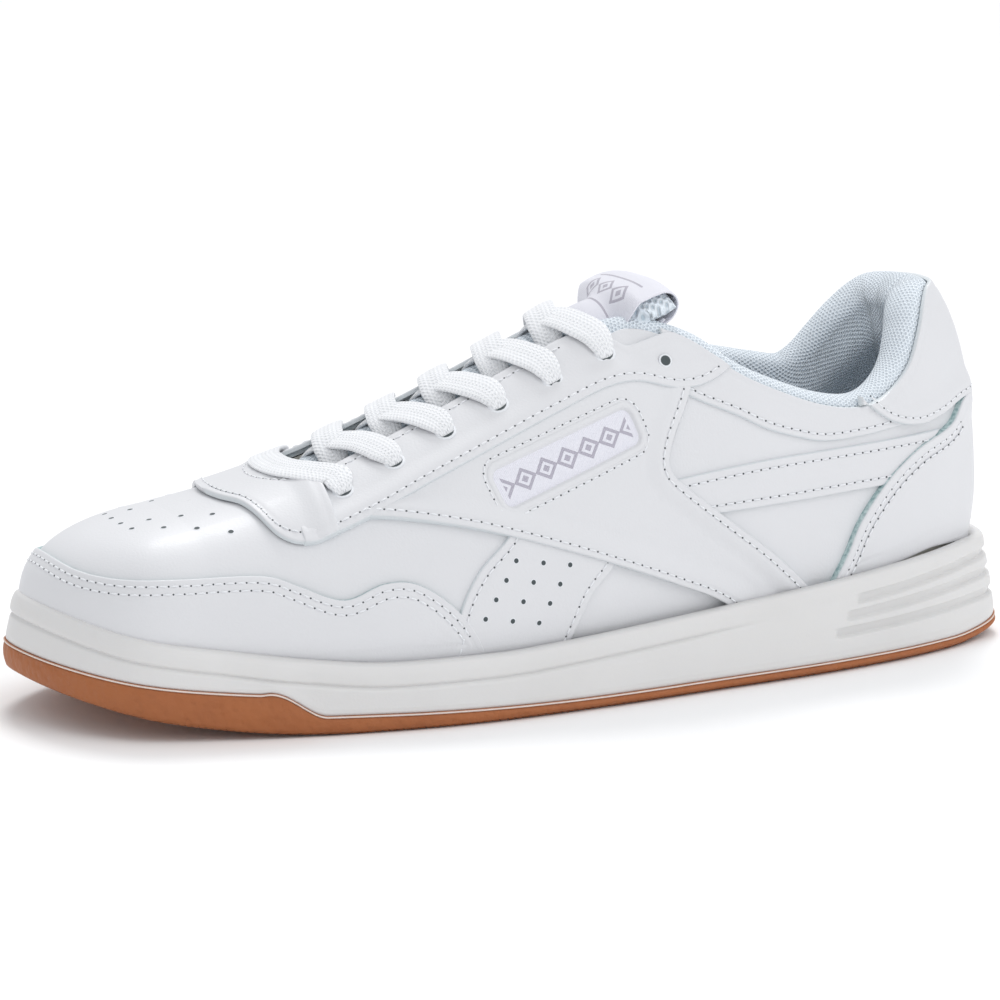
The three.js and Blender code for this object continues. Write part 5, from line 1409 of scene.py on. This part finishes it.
# Needle holes: small dots painted near-black, painted shade that stands in for the open holes.
dark = Finish("needle_hole", roughness=0.8)
where = dark.place()
dark.wear(colour=dark.blend(dark.noise(where, 800), (0.05, 0.057, 0.062), (0.12, 0.13, 0.14)),
          roughness=0.75 + dark.noise(where, 400) * 0.2, height=dark.noise(where, 2000), depth=0.00004)
finished(needle_holes, "shoe", dark.material, "white_leather")


# ---- Inside of the shoe
# The foot bed, the lasting board, the foam wedge and the stiffeners keep their shapes, and get their stuffs.
def kept_node(finish, *nodes):
    """Gives CAD nodes a better material."""
    for node in nodes:
        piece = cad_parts[node]
        piece.data.materials.clear()
        piece.data.materials.append(finish.material)


knitted = Finish("foot_bed_cloth", roughness=0.9, sheen_weight=0.3)
x, y, z = knitted.parts(knitted.place())
knit = honeycomb(x * 1000, y * 1000, 1.5)
# The knit is painted darker where its relief sinks: painted shade in its hollows.
knitted.wear(colour=knitted.blend(knit.ramp(-1, 2.2), (0.72, 0.79, 0.87), (0.50, 0.58, 0.68)),
             roughness=0.85 + knit * 0.03,
             height=knit * -0.3, depth=0.0003)
kept_node(knitted, "sockliner", "vamp_lining")

foam = Finish("open_cell_foam", roughness=0.9)
where = foam.place()
# holes: the foam's open cells, sunk at their centres and painted darker there, painted shade.
holes = foam.cells(where, 900)
foam.wear(colour=foam.blend(holes, (0.60, 0.60, 0.57), (0.78, 0.78, 0.75)), roughness=0.85 + holes * 0.1,
          height=holes,
          depth=0.0004)
kept_node(foam, "midsole_foam")

board = Finish("fibre_board", roughness=0.85)
where = board.place()
fibres = board.noise(where, 700, 6)
board.wear(colour=board.blend(fibres, (0.36, 0.28, 0.17), (0.55, 0.45, 0.31)),
           roughness=0.8 + fibres * 0.15, height=fibres,
           depth=0.0002)
kept_node(board, "insole_board")

sheet_stuff = Finish("stiffener_sheet", roughness=0.6)
where = sheet_stuff.place()
speckle = sheet_stuff.noise(where, 400, 5)
sheet_stuff.wear(colour=sheet_stuff.blend(speckle, (0.62, 0.60, 0.54), (0.74, 0.72, 0.66)),
                 roughness=0.55 + speckle * 0.2,
                 height=speckle, depth=0.0001)
kept_node(sheet_stuff, "toe_puff", "heel_counter", "eyestay_backing_outer", "eyestay_backing_inner")

film = Finish("clear_film", roughness=0.2, coat_weight=0.6)
where = film.place()
haze = film.noise(where, 500, 3)
film.wear(colour=film.blend(haze, (0.80, 0.81, 0.83), (0.88, 0.89, 0.90)), roughness=0.16 + haze * 0.1,
          height=haze,
          depth=0.00003)
kept_node(film, "aglet_outer", "aglet_inner")
